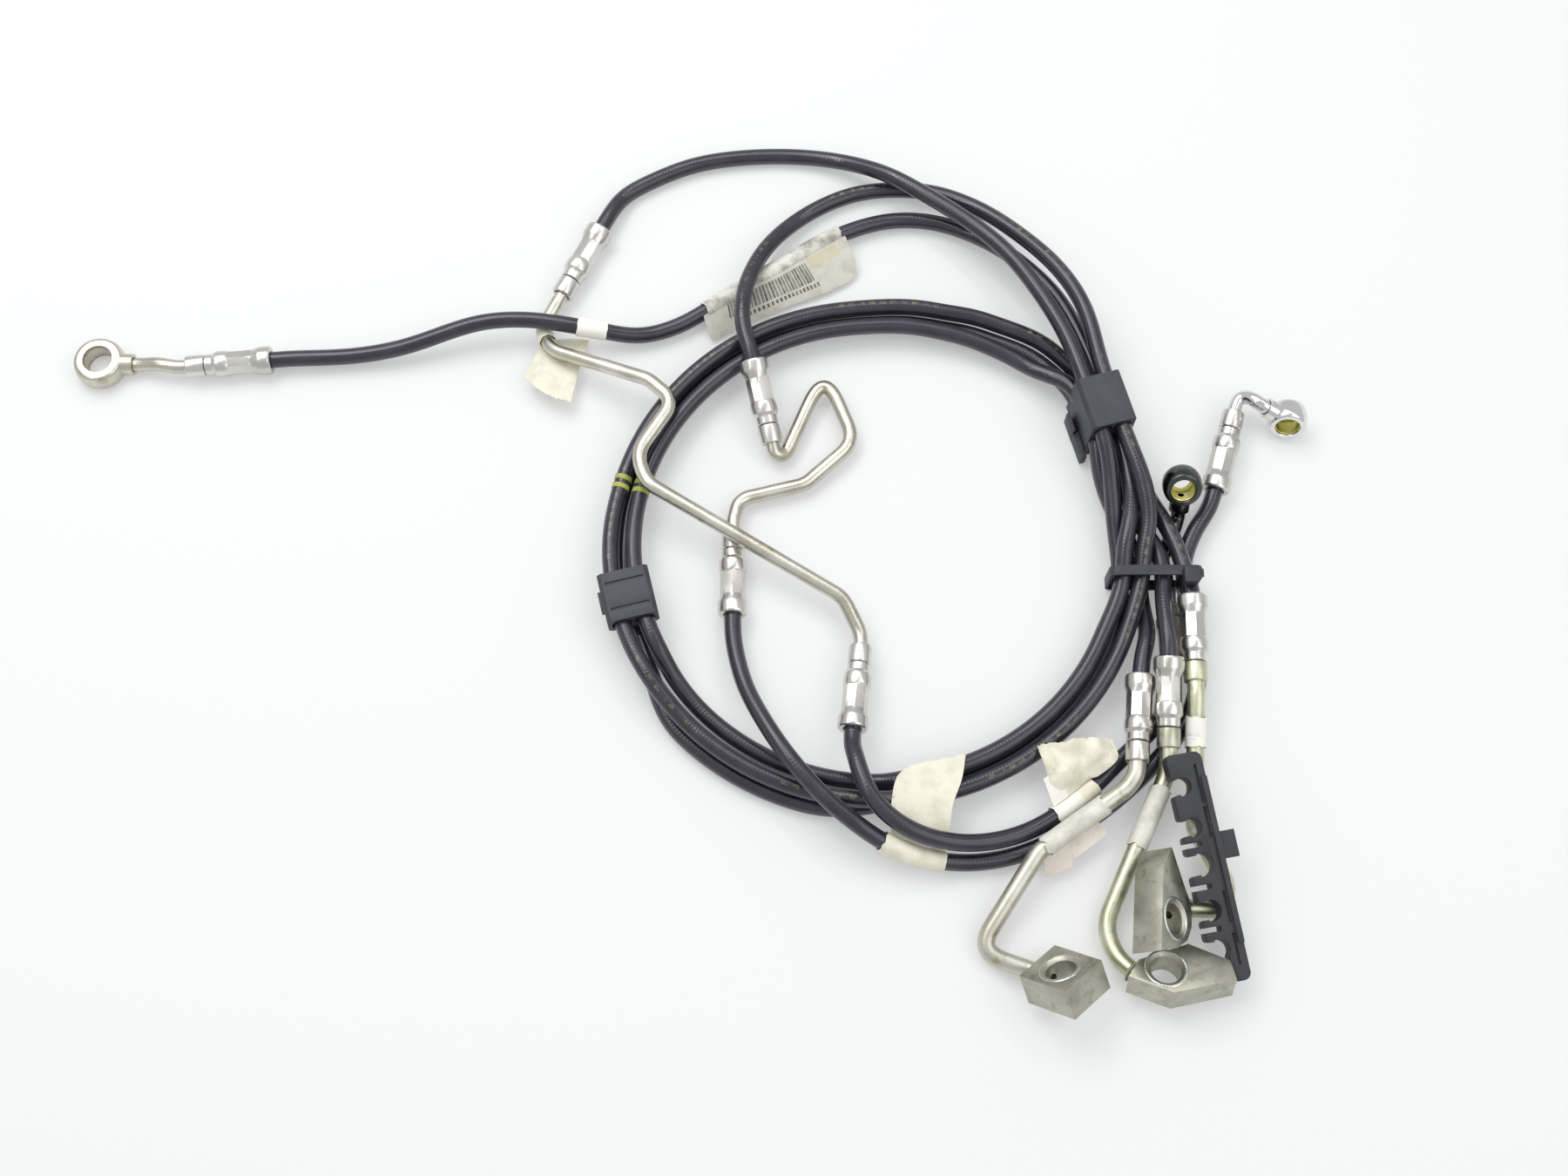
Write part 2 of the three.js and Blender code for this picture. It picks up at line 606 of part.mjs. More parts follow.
// Hose A climbs on to hose B between the end of the coil and the clip.
const RISES = { a: [[114.8, 91.2, 11.6]], b: [], c: [] };

const TAILS = {
  a: [[131, 55, 12], [134.8, 38, 6.4], [142.1, 22, 3.9], [145, 11, 4.4], [146, 1, 4.9],
    [146.4, -10, 4.6], [147.2, -17, 6.4], [147.3, -23, 9.8], [145.3, -29.5, 11.6]],
  b: [[136.2, 55, 4.6], [143.4, 39, 4.2], [149.4, 22, 7.4], [154, 11, 10.8], [154.6, 1, 12.7],
    [153.2, -8, 15.3], [152.9, -19, 17.6]],
  c: [[144.4, 55, 4.8], [151.8, 40, 5], [157.6, 23, 11.2], [161.9, 11, 12.8], [163.4, 1, 13.2]],
};

const BRIDGES = {
  d: [[27.5, -73, 15.8], [29.5, -83, 18.6], [36, -96, 19.2], [50, -106, 17], [71, -109.5, 11.5],
    [95, -104, 6.8], [117, -90, 4.8], [135, -73, 4.2], [149, -60, 3.7], [155, -51, 5.2]],
  e: [[-20, -28, 6.6], [-16, -44, 9], [-9, -59, 13.6], [0, -74, 17.4], [14, -91, 17.9],
    [28, -103, 16.8], [42, -111, 12], [57, -115, 7], [75, -115.5, 4], [96, -111, 3.7],
    [121, -98, 3.7], [144, -79, 3.7], [161.6, -58, 3.7], [167.6, -40, 3.8], [167.4, -20, 4.2],
    [167.2, -7, 4.8], [164.2, 2, 5.05], [165.2, 11, 5.05], [171.4, 25, 5.6]],
};

function addHose(name, points) {
  add(name, sweep(points, HOSE_RADIUS, HOSE_SIDES), 'hose', true);
  runs[name] = points;
}

function addCoiledHoses() {
  for (const [name, lane] of Object.entries(LANES)) {
    const inlet = fittingOf[`hose_${name}_inlet`];
    const outlet = fittingOf[`hose_${name}_outlet`];
    const halfGap = FACE_GAP / 2;
    const leadEnd = [clipPlace(...lane.into, -halfGap)];
    const lead = hosePoints(
      [inlet.mouth, inlet.hoseLead, ...LEADS[name].map(vector), clipPlace(...lane.into, -CLIP_STRAIGHT)],
      [inlet.hoseSeat],
      leadEnd,
    );
    addHose(`hose_${name}_lead`, lead);
    const start = hosePoints(
      [clipPlace(...lane.into, CLIP_STRAIGHT), ...SHARED_RUNS[name].map(vector), coilPoints(name)[0]],
      [clipPlace(...lane.into, halfGap)],
      [],
    );
    const finish = hosePoints(
      [
        coilPoints(name)[COIL_STEPS],
        ...RISES[name].map(vector),
        clipPlace(...lane.outOf, -CLIP_STRAIGHT),
      ],
      [],
      [clipPlace(...lane.outOf, -halfGap)],
    );
    const coil = [...start, ...coilPoints(name).slice(1, -1), ...finish];
    addHose(`hose_${name}_coil`, coil);
    reportLeastGap(`hose_${name}_coil`, coil);
    const tail = hosePoints(
      [clipPlace(...lane.outOf, CLIP_STRAIGHT), ...TAILS[name].map(vector), outlet.hoseLead, outlet.mouth],
      [clipPlace(...lane.outOf, halfGap)],
      [outlet.hoseSeat],
    );
    addHose(`hose_${name}_tail`, tail);
  }
}

function addBridgeHoses() {
  for (const [name, route] of Object.entries(BRIDGES)) {
    const inlet = fittingOf[`hose_${name}_inlet`];
    const outlet = fittingOf[`hose_${name}_outlet`];
    const points = hosePoints(
      [inlet.mouth, inlet.hoseLead, ...route.map(vector), outlet.hoseLead, outlet.mouth],
      [inlet.hoseSeat],
      [outlet.hoseSeat],
    );
    addHose(`hose_${name}`, points);
  }
}

// The least gap that a coiled hose keeps to itself, between stretches more than a few diameters apart.
function reportLeastGap(name, points) {
  const path = new PointPath(points);
  const samples = path.getPoints((points.length - 1) * 4);
  const travelled = [0];
  for (let i = 1; i < samples.length; i += 1) {
    travelled.push(travelled[i - 1] + samples[i].distanceTo(samples[i - 1]));
  }
  let least = Infinity;
  for (let i = 0; i < samples.length; i += 1) {
    for (let j = i + 1; j < samples.length; j += 1) {
      if (travelled[j] - travelled[i] > 8 * HOSE_RADIUS) {
        least = Math.min(least, samples[i].distanceTo(samples[j]) - 2 * HOSE_RADIUS);
      }
    }
  }
  console.log(`${name}: least gap to itself ${least.toFixed(2)} mm`);
}

// ---------------------------------------------------------------- clips
const TWIN_BORE_RADIUS = HOSE_RADIUS + 0.7;
const CLIP_BORE_SIDES = 12;

function circlePath(x, y, radius, sides) {
  const path = new THREE.Path();
  for (let side = 0; side < sides; side += 1) {
    const angle = (-2 * Math.PI * side) / sides;
    const px = x + radius * Math.cos(angle);
    const py = y + radius * Math.sin(angle);
    if (side === 0) {
      path.moveTo(px, py);
    } else {
      path.lineTo(px, py);
    }
  }
  path.closePath();
  return path;
}

function shapeOf(points, holes = []) {
  const shape = new THREE.Shape(points.map(([x, y]) => new THREE.Vector2(x, y)));
  shape.holes.push(...holes);
  return shape;
}

// A bar with its length along Z, centred on it.
function bar(shape, length) {
  const geometry = new THREE.ExtrudeGeometry(shape, { depth: length, bevelEnabled: false });
  geometry.translate(0, 0, -length / 2);
  return geometry;
}

function boxAt(width, depth, height, x, y, z) {
  const box = new THREE.BoxGeometry(width, depth, height);
  box.translate(x, y, z);
  return box;
}

// The twin clip: two bores side by side, a parting groove along its inner edge and a latch tongue
// standing on its outer edge.
const TWIN_CLIP = { angle: -166, wall: 1.6, notch: 1.4, length: 21, pitch: 9.4, inset: 0.33 };

function addTwinClip() {
  const { wall, notch, length, pitch } = TWIN_CLIP;
  const side = pitch / 2 + TWIN_BORE_RADIUS + wall;
  const half = TWIN_BORE_RADIUS + wall - 0.1;
  const chamfer = 1.6;
  const outline = [
    [-side + chamfer, -half], [side - chamfer, -half], [side, -half + chamfer],
    [side, half - chamfer], [side - chamfer, half], [-side + chamfer, half],
    [-side, half - chamfer], [-side, 0.8], [-side + notch, 0.8], [-side + notch, -0.8], [-side, -0.8],
    [-side, -half + chamfer],
  ];
  const holes = [-pitch / 2, pitch / 2].map((x) => circlePath(x, 0, TWIN_BORE_RADIUS, CLIP_BORE_SIDES));
  const body = bar(shapeOf(outline, holes), length);
  const tongue = boxAt(1.6, 5.2, 8, side + 0.4, 0, 0);
  const turn = THREE.MathUtils.degToRad(TWIN_CLIP.angle);
  const radius = (coilLane(TWIN_CLIP.angle).a + coilLane(TWIN_CLIP.angle).c) / 2 - TWIN_CLIP.inset;
  const centre = new THREE.Vector3(
    COIL_CENTRE.x + radius * Math.cos(turn),
    COIL_CENTRE.y + radius * Math.sin(turn),
    coilPoint('a', TWIN_CLIP.angle).z,
  );
  const outward = new THREE.Vector3(Math.cos(turn), Math.sin(turn), 0);
  const along = new THREE.Vector3(Math.sin(turn), -Math.cos(turn), 0);
  add('twin_clip', stand(join(body, tongue), centre, along, outward), 'plastic');
}

// The bundle clip: two columns of three bores in one moulded block.
const BUNDLE_CLIP = { wall: 1.5, length: 23, columns: 2, rows: 3 };

function addBundleClip() {
  const reach = CLIP_BORE_RADIUS + BUNDLE_CLIP.wall;
  const top = CLIP_FLOOR_ROW + (BUNDLE_CLIP.rows - 1) * CLIP_PITCH + reach;
  const foot = (BUNDLE_CLIP.columns - 1) * CLIP_PITCH + reach;
  const outline = [
    [-reach, 0], [foot - 1, 0], [foot, 1], [foot, top - 1.6],
    [foot - 1.6, top], [-reach + 0.8, top], [-reach, top - 0.8],
  ];
  const holes = [];
  for (let row = 0; row < BUNDLE_CLIP.rows; row += 1) {
    for (let column = 0; column < BUNDLE_CLIP.columns; column += 1) {
      const height = CLIP_FLOOR_ROW + row * CLIP_PITCH;
      holes.push(circlePath(column * CLIP_PITCH, height, CLIP_BORE_RADIUS, CLIP_BORE_SIDES));
    }
  }
  const body = bar(shapeOf(outline, holes), BUNDLE_CLIP.length);
  const up = new THREE.Vector3(0, 0, 1);
  const origin = CLIP_CENTRE.clone();
  const axis = new THREE.Vector3().crossVectors(CLIP_INWARD, up);
  add('bundle_clip', stand(body, origin, axis, CLIP_INWARD), 'plastic');
  addBundleLatch(foot, origin, axis);
}

// The latch bar hooks along the foot of the inner wall and ends in a stepped thumb tab.
function addBundleLatch(foot, origin, axis) {
  const hook = [
    [foot + FACE_GAP, 0.4], [foot + 3, 0.4], [foot + 3, 8.6], [foot + 2, 10],
    [foot + 1.6, 8.2], [foot + 1.6, 3.4], [foot + FACE_GAP, 3.4],
  ];
  const side = Math.sign(axis.dot(CLIP_ALONG));
  const latch = bar(shapeOf(hook), 9);
  latch.translate(0, 0, side * -1);
  const thumb = boxAt(2.6, 6.5, 12, foot + 1.6, 3.65, side * 9);
  add('bundle_clip_latch', stand(join(latch, thumb), origin, axis, CLIP_INWARD), 'plastic');
}

// ---------------------------------------------------------------- zip tie
const ZIP = { left: 132.2, right: 169.7, top: 19.1, strap: 1.1, width: 4.2, place: 1, corner: 3.4 };

function roundedBox(left, right, bottom, top, corner, Kind) {
  const path = new Kind();
  path.moveTo(left + corner, bottom);
  path.lineTo(right - corner, bottom);
  path.quadraticCurveTo(right, bottom, right, bottom + corner);
  path.lineTo(right, top - corner);
  path.quadraticCurveTo(right, top, right - corner, top);
  path.lineTo(left + corner, top);
  path.quadraticCurveTo(left, top, left, top - corner);
  path.lineTo(left, bottom + corner);
  path.quadraticCurveTo(left, bottom, left + corner, bottom);
  return path;
}

function addZipTie() {
  const { left, right, top, strap, width, place, corner } = ZIP;
  const shape = roundedBox(left, right, 0, top, corner, THREE.Shape);
  const inner = corner - strap / 2;
  shape.holes.push(roundedBox(left + strap, right - strap, strap, top - strap, inner, THREE.Path));
  const loop = new THREE.ExtrudeGeometry(shape, { depth: width, bevelEnabled: false, curveSegments: 3 });
  loop.rotateX(Math.PI / 2);
  loop.translate(0, place + width / 2, 0);
  const head = boxAt(6, 6.6, 5, right - 5.9, place - 3.4, top + 2.1);
  const tail = boxAt(2.6, 3.4, 1.1, right - 1.8, place - 1.9, top + 1.2);
  add('zip_tie', join(loop, head, tail), 'plastic');
}

// ---------------------------------------------------------------- comb clip
// Measured along the comb from its upper end: snap recesses for five tubes, and the slits between
// them that let the jaws spring open.
const COMB = { length: 88, width: 13.6, depth: 8, spine: 7.4, rib: 2.2, ribHeight: 3 };
const COMB_RECESSES = [
  { at: 12.5, radius: 3.75, depth: 7.4 },
  { at: 28.5, radius: 3.75, depth: 8 },
  { at: 43, radius: 4.6, depth: 9.4 },
  { at: 60.5, radius: 4.1, depth: 8.2 },
  { at: 75.5, radius: 4.1, depth: 8.2, open: true },
];
const COMB_SLITS = [35.2, 51.5, 67.6];
const COMB_JAW = 0.8;

// The outline's left edge, from the upper end down: each recess is a round seat behind a mouth that
// its jaws narrow, and each slit is a square notch. The last recess has no lower jaw: the comb runs on
// from it as a bare spine.
function combOutline() {
  const edge = [];
  for (const slit of COMB_SLITS) {
    edge.push({ at: slit, points: [[0, slit - 1], [6.4, slit - 1], [6.4, slit + 1], [0, slit + 1]] });
  }
  for (const { at, radius, depth, open } of COMB_RECESSES) {
    const mouth = radius - COMB_JAW;
    const seat = depth - radius;
    const points = [[0, at - mouth - 1], [1.6, at - mouth], [seat - 1.4, at - mouth]];
    for (let step = 0; step <= (open ? 4 : 6); step += 1) {
      const angle = THREE.MathUtils.degToRad(-110 + (220 * step) / 6);
      points.push([seat + radius * Math.cos(angle), at + radius * Math.sin(angle)]);
    }
    if (!open) {
      points.push([seat - 1.4, at + mouth], [1.6, at + mouth], [0, at + mouth + 1]);
    }
    edge.push({ at, points });
  }
  edge.sort((one, other) => one.at - other.at);
  const left = edge.flatMap((feature) => feature.points);
  return [
    [0, 0], ...left, [COMB.spine, COMB.length], [COMB.width - 3, COMB.length],
    [COMB.width, COMB.length - 4], [COMB.width, 3], [COMB.width - 3, 0],
  ];
}

const COMB_PLACE = new THREE.Vector3(147.5, -77, 16.3);
const COMB_ALONG = new THREE.Vector3(0.178, -0.975, -0.1355).normalize();

function addComb() {
  const body = new THREE.ExtrudeGeometry(shapeOf(combOutline()), {
    depth: COMB.depth, bevelEnabled: false,
  });
  const ribPlace = COMB.width - COMB.rib / 2;
  const ribTop = COMB.depth + COMB.ribHeight / 2 - 0.5;
  const rib = boxAt(COMB.rib, COMB.length - 24, COMB.ribHeight + 1, ribPlace, 42, ribTop);
  const tab = boxAt(7, 10.5, 3, COMB.width + 2.5, 37, COMB.depth - 1.6);
  const comb = join(body, rib, tab);
  const up = new THREE.Vector3(0, 0, 1);
  up.addScaledVector(COMB_ALONG, -up.dot(COMB_ALONG)).normalize();
  // The outline was drawn with its length along +Y and its open side to -X, seen from below.
  comb.scale(-1, 1, 1);
  comb.index.array.reverse();
  const side = new THREE.Vector3().crossVectors(COMB_ALONG, up);
  add('comb_clip', stand(comb, COMB_PLACE, up, side), 'plastic');
}

// ---------------------------------------------------------------- paper wraps
const PAPER = { clearance: 0.45, thickness: 0.6, sides: 10 };

// The straight stretch of a run that passes nearest to a place: its middle there and its direction.
function stretchNear(run, place, length) {
  const points = runs[run];
  let best = null;
  for (let i = 0; i + 1 < points.length; i += 1) {
    const line = new THREE.Line3(points[i], points[i + 1]);
    const size = line.distance();
    if (size > length) {
      const share = line.closestPointToPointParameter(place, true);
      const margin = (length / 2 + 0.2) / size;
      const centre = line.at(THREE.MathUtils.clamp(share, margin, 1 - margin), new THREE.Vector3());
      const distance = centre.distanceTo(place);
      if (!best || distance < best.distance) {
        best = { centre, direction: line.delta(new THREE.Vector3()).normalize(), distance };
      }
    }
  }
  return best;
}

// The chord between the points of a run that pass nearest to two places.
function chordBetween(run, from, to) {
  const nearest = (place) => runs[run].reduce(
    (best, point) => (point.distanceTo(place) < best.distanceTo(place) ? point : best),
  );
  const start = nearest(from);
  const end = nearest(to);
  return {
    centre: start.clone().lerp(end, 0.5),
    direction: end.clone().sub(start).normalize(),
    length: start.distanceTo(end),
  };
}

// A wrap round a hose or tube, with a loose end of `reach` that leaves it toward `flagToward`.
function addWrap(name, run, place, radius, length, reach, flagToward) {
  const { centre, direction } = stretchNear(run, vector(place), length);
  wrapAt(name, centre, direction, radius, length, reach, flagToward);
}

function wrapAt(name, centre, direction, radius, length, reach, flagToward) {
  const bore = radius + PAPER.clearance;
  const sleeve = new THREE.CylinderGeometry(
    bore + PAPER.thickness, bore + PAPER.thickness, length, PAPER.sides,
  );
  sleeve.rotateX(Math.PI / 2);
  const opening = new THREE.CylinderGeometry(bore, bore, length + 2, PAPER.sides);
  opening.rotateX(Math.PI / 2);
  const across = bore + PAPER.thickness * 0.5;
  let wrap = sleeve;
  if (reach > 0) {
    const flag = boxAt(across + reach, PAPER.thickness, length, (across + reach) / 2, 0, 0);
    flag.translate(0, across - PAPER.thickness * 0.35, 0);
    wrap = join(sleeve, flag);
  }
  add(name, stand(cut(wrap, opening), centre, direction, vector(flagToward)), 'paper');
}

function addWraps() {
  const label = chordBetween('hose_a_lead', vector([-30, 129, 4.2]), vector([18, 161, 4.2]));
  wrapAt('paper_wrap_label', label.centre, label.direction, HOSE_RADIUS, label.length, 15, [0.5, -0.8, 0]);
  addWrap('paper_wrap_hose_a', 'hose_a_lead', [-82, 114.5, 10], HOSE_RADIUS, 9, 0, [0, 0, 1]);
  addWrap('paper_wrap_hose_d', 'hose_d', [54, -107, 15], HOSE_RADIUS, 12, 24, [0.25, 0.95, 0.2]);
  addWrap('paper_wrap_hose_e', 'hose_e', [48, -113, 9], HOSE_RADIUS, 12, 0, [0, 0, 1]);
  addWrap('paper_wrap_hose_d_side', 'hose_d', [117, -90, 4], HOSE_RADIUS, 13, 18, [-0.3, 0.9, 0.3]);
  addWrap('paper_wrap_long_line', 'mid_line_long', [-95, 104, 9], LINE_RADIUS, 15, 19, [-0.4, -0.9, 0]);
  addWrap('paper_wrap_block_a', 'block_a_tube', [113, -102, 10.5], PORT_TUBE_RADIUS, 30, 9, [0.6, -0.7, 0]);
  addWrap('paper_wrap_block_b', 'block_b_tube', [141.5, -101, 8], PORT_TUBE_RADIUS, 28, 0, [0, 0, 1]);
  addWrap('paper_wrap_block_c', 'block_c_tube', [163, -60, 12], PORT_TUBE_RADIUS, 11, 0, [0, 0, 1]);
}

// ---------------------------------------------------------------- the whole set
addFittings();
addEyes();
squareBlock.addTo();
longBlock.addTo();
shortBlock.addTo();
addTubes();
addCoiledHoses();
addBridgeHoses();
addTwinClip();
addBundleClip();
addZipTie();
addComb();
addWraps();

const stance = new THREE.Box3();
for (const piece of fittings) {
  stance.expandByObject(piece);
}
const middle = stance.getCenter(new THREE.Vector3());
layout.position.set(-middle.x, -middle.y, -stance.min.z);

export default layout;
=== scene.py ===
"""Brake line set: hoses, hard lines, crimped fittings, eyes, port blocks, clips and paper wraps.

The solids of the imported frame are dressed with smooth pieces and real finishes. Places are first given
on the layout: millimetres from the middle of the floor that the set covers, +X right, +Y away.
"""

import json
import logging
import math
from collections.abc import Iterator, Sequence
from contextlib import contextmanager
from dataclasses import dataclass, field
from enum import Enum
from typing import ClassVar

import bmesh
import bpy
from mathutils import Matrix, Vector, noise

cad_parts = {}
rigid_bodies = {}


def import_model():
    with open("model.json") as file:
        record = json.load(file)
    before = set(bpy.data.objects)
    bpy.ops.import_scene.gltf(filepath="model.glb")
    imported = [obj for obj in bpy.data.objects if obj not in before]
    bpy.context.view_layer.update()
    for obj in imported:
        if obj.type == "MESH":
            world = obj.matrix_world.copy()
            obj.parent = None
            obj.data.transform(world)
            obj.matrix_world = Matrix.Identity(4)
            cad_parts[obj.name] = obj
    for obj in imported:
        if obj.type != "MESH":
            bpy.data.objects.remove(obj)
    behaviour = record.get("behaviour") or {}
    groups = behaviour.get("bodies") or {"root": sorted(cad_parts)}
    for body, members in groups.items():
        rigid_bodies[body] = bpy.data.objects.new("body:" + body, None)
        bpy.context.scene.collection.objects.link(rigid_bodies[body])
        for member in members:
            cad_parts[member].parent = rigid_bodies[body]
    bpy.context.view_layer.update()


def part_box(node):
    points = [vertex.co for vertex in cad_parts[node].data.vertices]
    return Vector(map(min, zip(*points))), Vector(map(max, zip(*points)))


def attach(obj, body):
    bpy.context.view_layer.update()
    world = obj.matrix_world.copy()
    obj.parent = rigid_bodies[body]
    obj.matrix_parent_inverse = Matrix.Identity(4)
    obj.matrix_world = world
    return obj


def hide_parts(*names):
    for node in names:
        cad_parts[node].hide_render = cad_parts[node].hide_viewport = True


log = logging.getLogger("brake_line_set")

# The row frame is in metres; every other size here is in millimetres.
MM = 0.001
HOSE_RADIUS = 3.5
LINE_RADIUS = 3.0
PORT_TUBE_RADIUS = 3.5
LANE_PITCH = 7.6
FACE_GAP = 0.3
FERRULE_LENGTH = 28.0
FERRULE_BORE_DEPTH = 20.0
COLLAR_LENGTH = 8.0
FITTING_LENGTH = FERRULE_LENGTH + FACE_GAP + COLLAR_LENGTH
TUBE_BITE = 4.7
SOCKET_DEPTH = 3.2
PATH_STEP = 2.5
PAPER_THICKNESS = 0.26
UP = Vector((0, 0, 1))

Place = tuple[float, float, float]
Piece = bpy.types.Object
Socket = bpy.types.NodeSocket


# ---------------------------------------------------------------- small helpers
def mix(a: float, b: float, share: float) -> float:
    """The value `share` of the way from a to b."""
    return a + (b - a) * share


def linear(hex_code: str) -> tuple[float, float, float, float]:
    """Turns an sRGB hex colour to linear.

    Args:
        hex_code: six hex digits, such as "b9b6ae".

    Returns:
        The linear red, green and blue, and an alpha of 1.
    """
    channels = [int(hex_code[i : i + 2], 16) / 255 for i in (0, 2, 4)]
    values = [c / 12.92 if c <= 0.04045 else ((c + 0.055) / 1.055) ** 2.4 for c in channels]
    return (values[0], values[1], values[2], 1.0)


@dataclass
class Floor:
    """The layout's place in the row frame, taken from the zip tie, which stands square on it."""

    shift: Vector

    @classmethod
    def from_frame(cls) -> "Floor":
        """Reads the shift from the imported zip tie.

        Returns:
            The layout's place.
        """
        low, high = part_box("zip_tie")
        back = high.y / MM - (ZipTie.place + ZipTie.width / 2)
        return cls(Vector((low.x / MM - ZipTie.left, back, 0)))

    def at(self, place: Sequence[float]) -> Vector:
        """A layout place, in millimetres, as a point of the row frame, in metres."""
        return (Vector(place) + self.shift) * MM


def catmull_rom(route: list[Vector], step: float = PATH_STEP) -> list[Vector]:
    """A centripetal Catmull-Rom curve through every point of a route.

    Args:
        route: the points that the curve passes.
        step: the distance between the points that it is sampled at.

    Returns:
        The sampled points, from the route's first point to its last.
    """
    points: list[Vector] = []
    last = len(route) - 1
    for i in range(last):
        p1, p2 = route[i], route[i + 1]
        p0 = route[i - 1] if i > 0 else p1 * 2 - p2
        p3 = route[i + 2] if i + 2 <= last else p2 * 2 - p1
        d0, d1, d2 = (max((b - a).length, 1e-3) ** 0.5 for a, b in ((p0, p1), (p1, p2), (p2, p3)))
        out = ((p1 - p0) / d0 - (p2 - p0) / (d0 + d1) + (p2 - p1) / d1) * d1
        into = ((p2 - p1) / d1 - (p3 - p1) / (d1 + d2) + (p3 - p2) / d2) * d1
        count = max(2, round((p2 - p1).length / step))
        for k in range(count):
            t = k / count
            a = 2 * t**3 - 3 * t**2 + 1
            b = t**3 - 2 * t**2 + t
            points.append(p1 * a + out * b + p2 * (1 - a) + into * (t**3 - t**2))
    points.append(route[last].copy())
    return points


def eased(points: list[Vector], passes: int = 8) -> list[Vector]:
    """Rounds the small corners where the stretches of a route meet.

    Args:
        points: the route.
        passes: how often each point moves toward its neighbours.

    Returns:
        The eased route; its ends stay.
    """
    for _ in range(passes):
        inner = [(a + b * 2 + c) / 4 for a, b, c in zip(points, points[1:], points[2:])]
        points = [points[0], *inner, points[-1]]
    return points


def evenly(points: list[Vector], step: float) -> list[Vector]:
    """Adds points on straight runs, so that they lie about a step apart.

    Args:
        points: the corners.
        step: the distance that is wanted.

    Returns:
        The corners and the points between them.
    """
    fine = [points[0]]
    for a, b in zip(points, points[1:]):
        count = max(1, round((b - a).length / step))
        fine += [a.lerp(b, (k + 1) / count) for k in range(count)]
    return fine


def bent(corners: list[Vector], radius: float, steps: int = 10) -> list[Vector]:
    """Straight runs joined by round bends, as a tube bender leaves them.

    Args:
        corners: where the straight runs would meet.
        radius: the bend radius, made smaller where a run is too short for it.
        steps: the points in each bend.

    Returns:
        The points of the tube's centreline.
    """
    points = [corners[0].copy()]
    for before, corner, after in zip(corners, corners[1:], corners[2:]):
        back, ahead = before - corner, after - corner
        room = 0.48 * min(back.length, ahead.length)
        turn = math.pi - back.angle(ahead)
        setback = min(radius * math.tan(turn / 2), room)
        start = corner + back.normalized() * setback
        end = corner + ahead.normalized() * setback
        for k in range(steps + 1):
            t = k / steps
            points.append(start * (1 - t) ** 2 + corner * (2 * t * (1 - t)) + end * t**2)
    points.append(corners[-1].copy())
    return points


def arc(x: float, y: float, radius: float, start: float, step: float) -> list[tuple[float, float]]:
    """A quarter of a circle in seven points.

    Args:
        x: its middle's X.
        y: its middle's Y.
        radius: its radius.
        start: where it starts, in degrees.
        step: the angle between its points.

    Returns:
        The points.
    """
    angles = [math.radians(start + step * k) for k in range(7)]
    return [(x + radius * math.cos(angle), y + radius * math.sin(angle)) for angle in angles]


def spline_at(points: Sequence[Vector], share: float) -> Vector:
    """Finds a place on an even Catmull-Rom curve.

    Args:
        points: what the curve passes.
        share: how far along it, from 0 to 1.

    Returns:
        The place.
    """
    last = len(points) - 1
    along = min(max(share, 0.0), 1.0) * last
    index = min(int(along), last - 1)
    t = along - index
    p1, p2 = points[index], points[index + 1]
    p0 = points[index - 1] if index > 0 else p1 * 2 - p2
    p3 = points[index + 2] if index + 2 <= last else p2 * 2 - p1
    bend = (p0 * 2 - p1 * 5 + p2 * 4 - p3) * t**2 + (p1 * 3 - p0 - p2 * 3 + p3) * t**3
    return (p1 * 2 + (p2 - p0) * t + bend) / 2


def basis(origin: Vector, axis: Vector, along: Vector) -> Matrix:
    """The matrix that stands a piece up.

    Args:
        origin: where the piece's own origin goes.
        axis: where its Z goes.
        along: what its X points toward as far as it can.

    Returns:
        A rotation and translation.
    """
    up = axis.normalized()
    side = (along - up * along.dot(up)).normalized()
    turn = Matrix((side, up.cross(side), up)).transposed().to_4x4()
    return Matrix.Translation(origin) @ turn


# ---------------------------------------------------------------- modelling
def deselect() -> None:
    """Deselects every object."""
    bpy.ops.object.select_all(action="DESELECT")


def activate(piece: Piece) -> None:
    """Makes one object the selected and active one.

    Args:
        piece: the object.
    """
    deselect()
    piece.select_set(True)
    bpy.context.view_layer.objects.active = piece


def named(name: str) -> Piece:
    """Names what an operator has just made.

    Args:
        name: for the object and its mesh.

    Returns:
        The object.
    """
    piece = bpy.context.active_object
    piece.name = piece.data.name = name
    return piece


def linked(name: str, data: bpy.types.ID) -> Piece:
    """Puts a mesh or a curve into the scene.

    Args:
        name: for it and its object.
        data: the mesh or curve.

    Returns:
        The new object.
    """
    data.name = name
    piece = bpy.data.objects.new(name, data)
    bpy.context.scene.collection.objects.link(piece)
    return piece


@contextmanager
def editing() -> Iterator[None]:
    """Edit mode on the active object, with all of it selected."""
    bpy.ops.object.mode_set(mode="EDIT")
    bpy.ops.mesh.select_all(action="SELECT")
    yield
    bpy.ops.object.mode_set(mode="OBJECT")


def apply_modifier(piece: Piece, kind: str, **settings: object) -> None:
    """Adds a modifier with its settings and applies it.

    Args:
        piece: the mesh object.
        kind: the modifier's type.
        **settings: what the modifier's properties are set to.
    """
    activate(piece)
    modifier = piece.modifiers.new(kind.title(), kind)
    for key, value in settings.items():
        setattr(modifier, key, value)
    bpy.ops.object.modifier_apply(modifier=modifier.name)


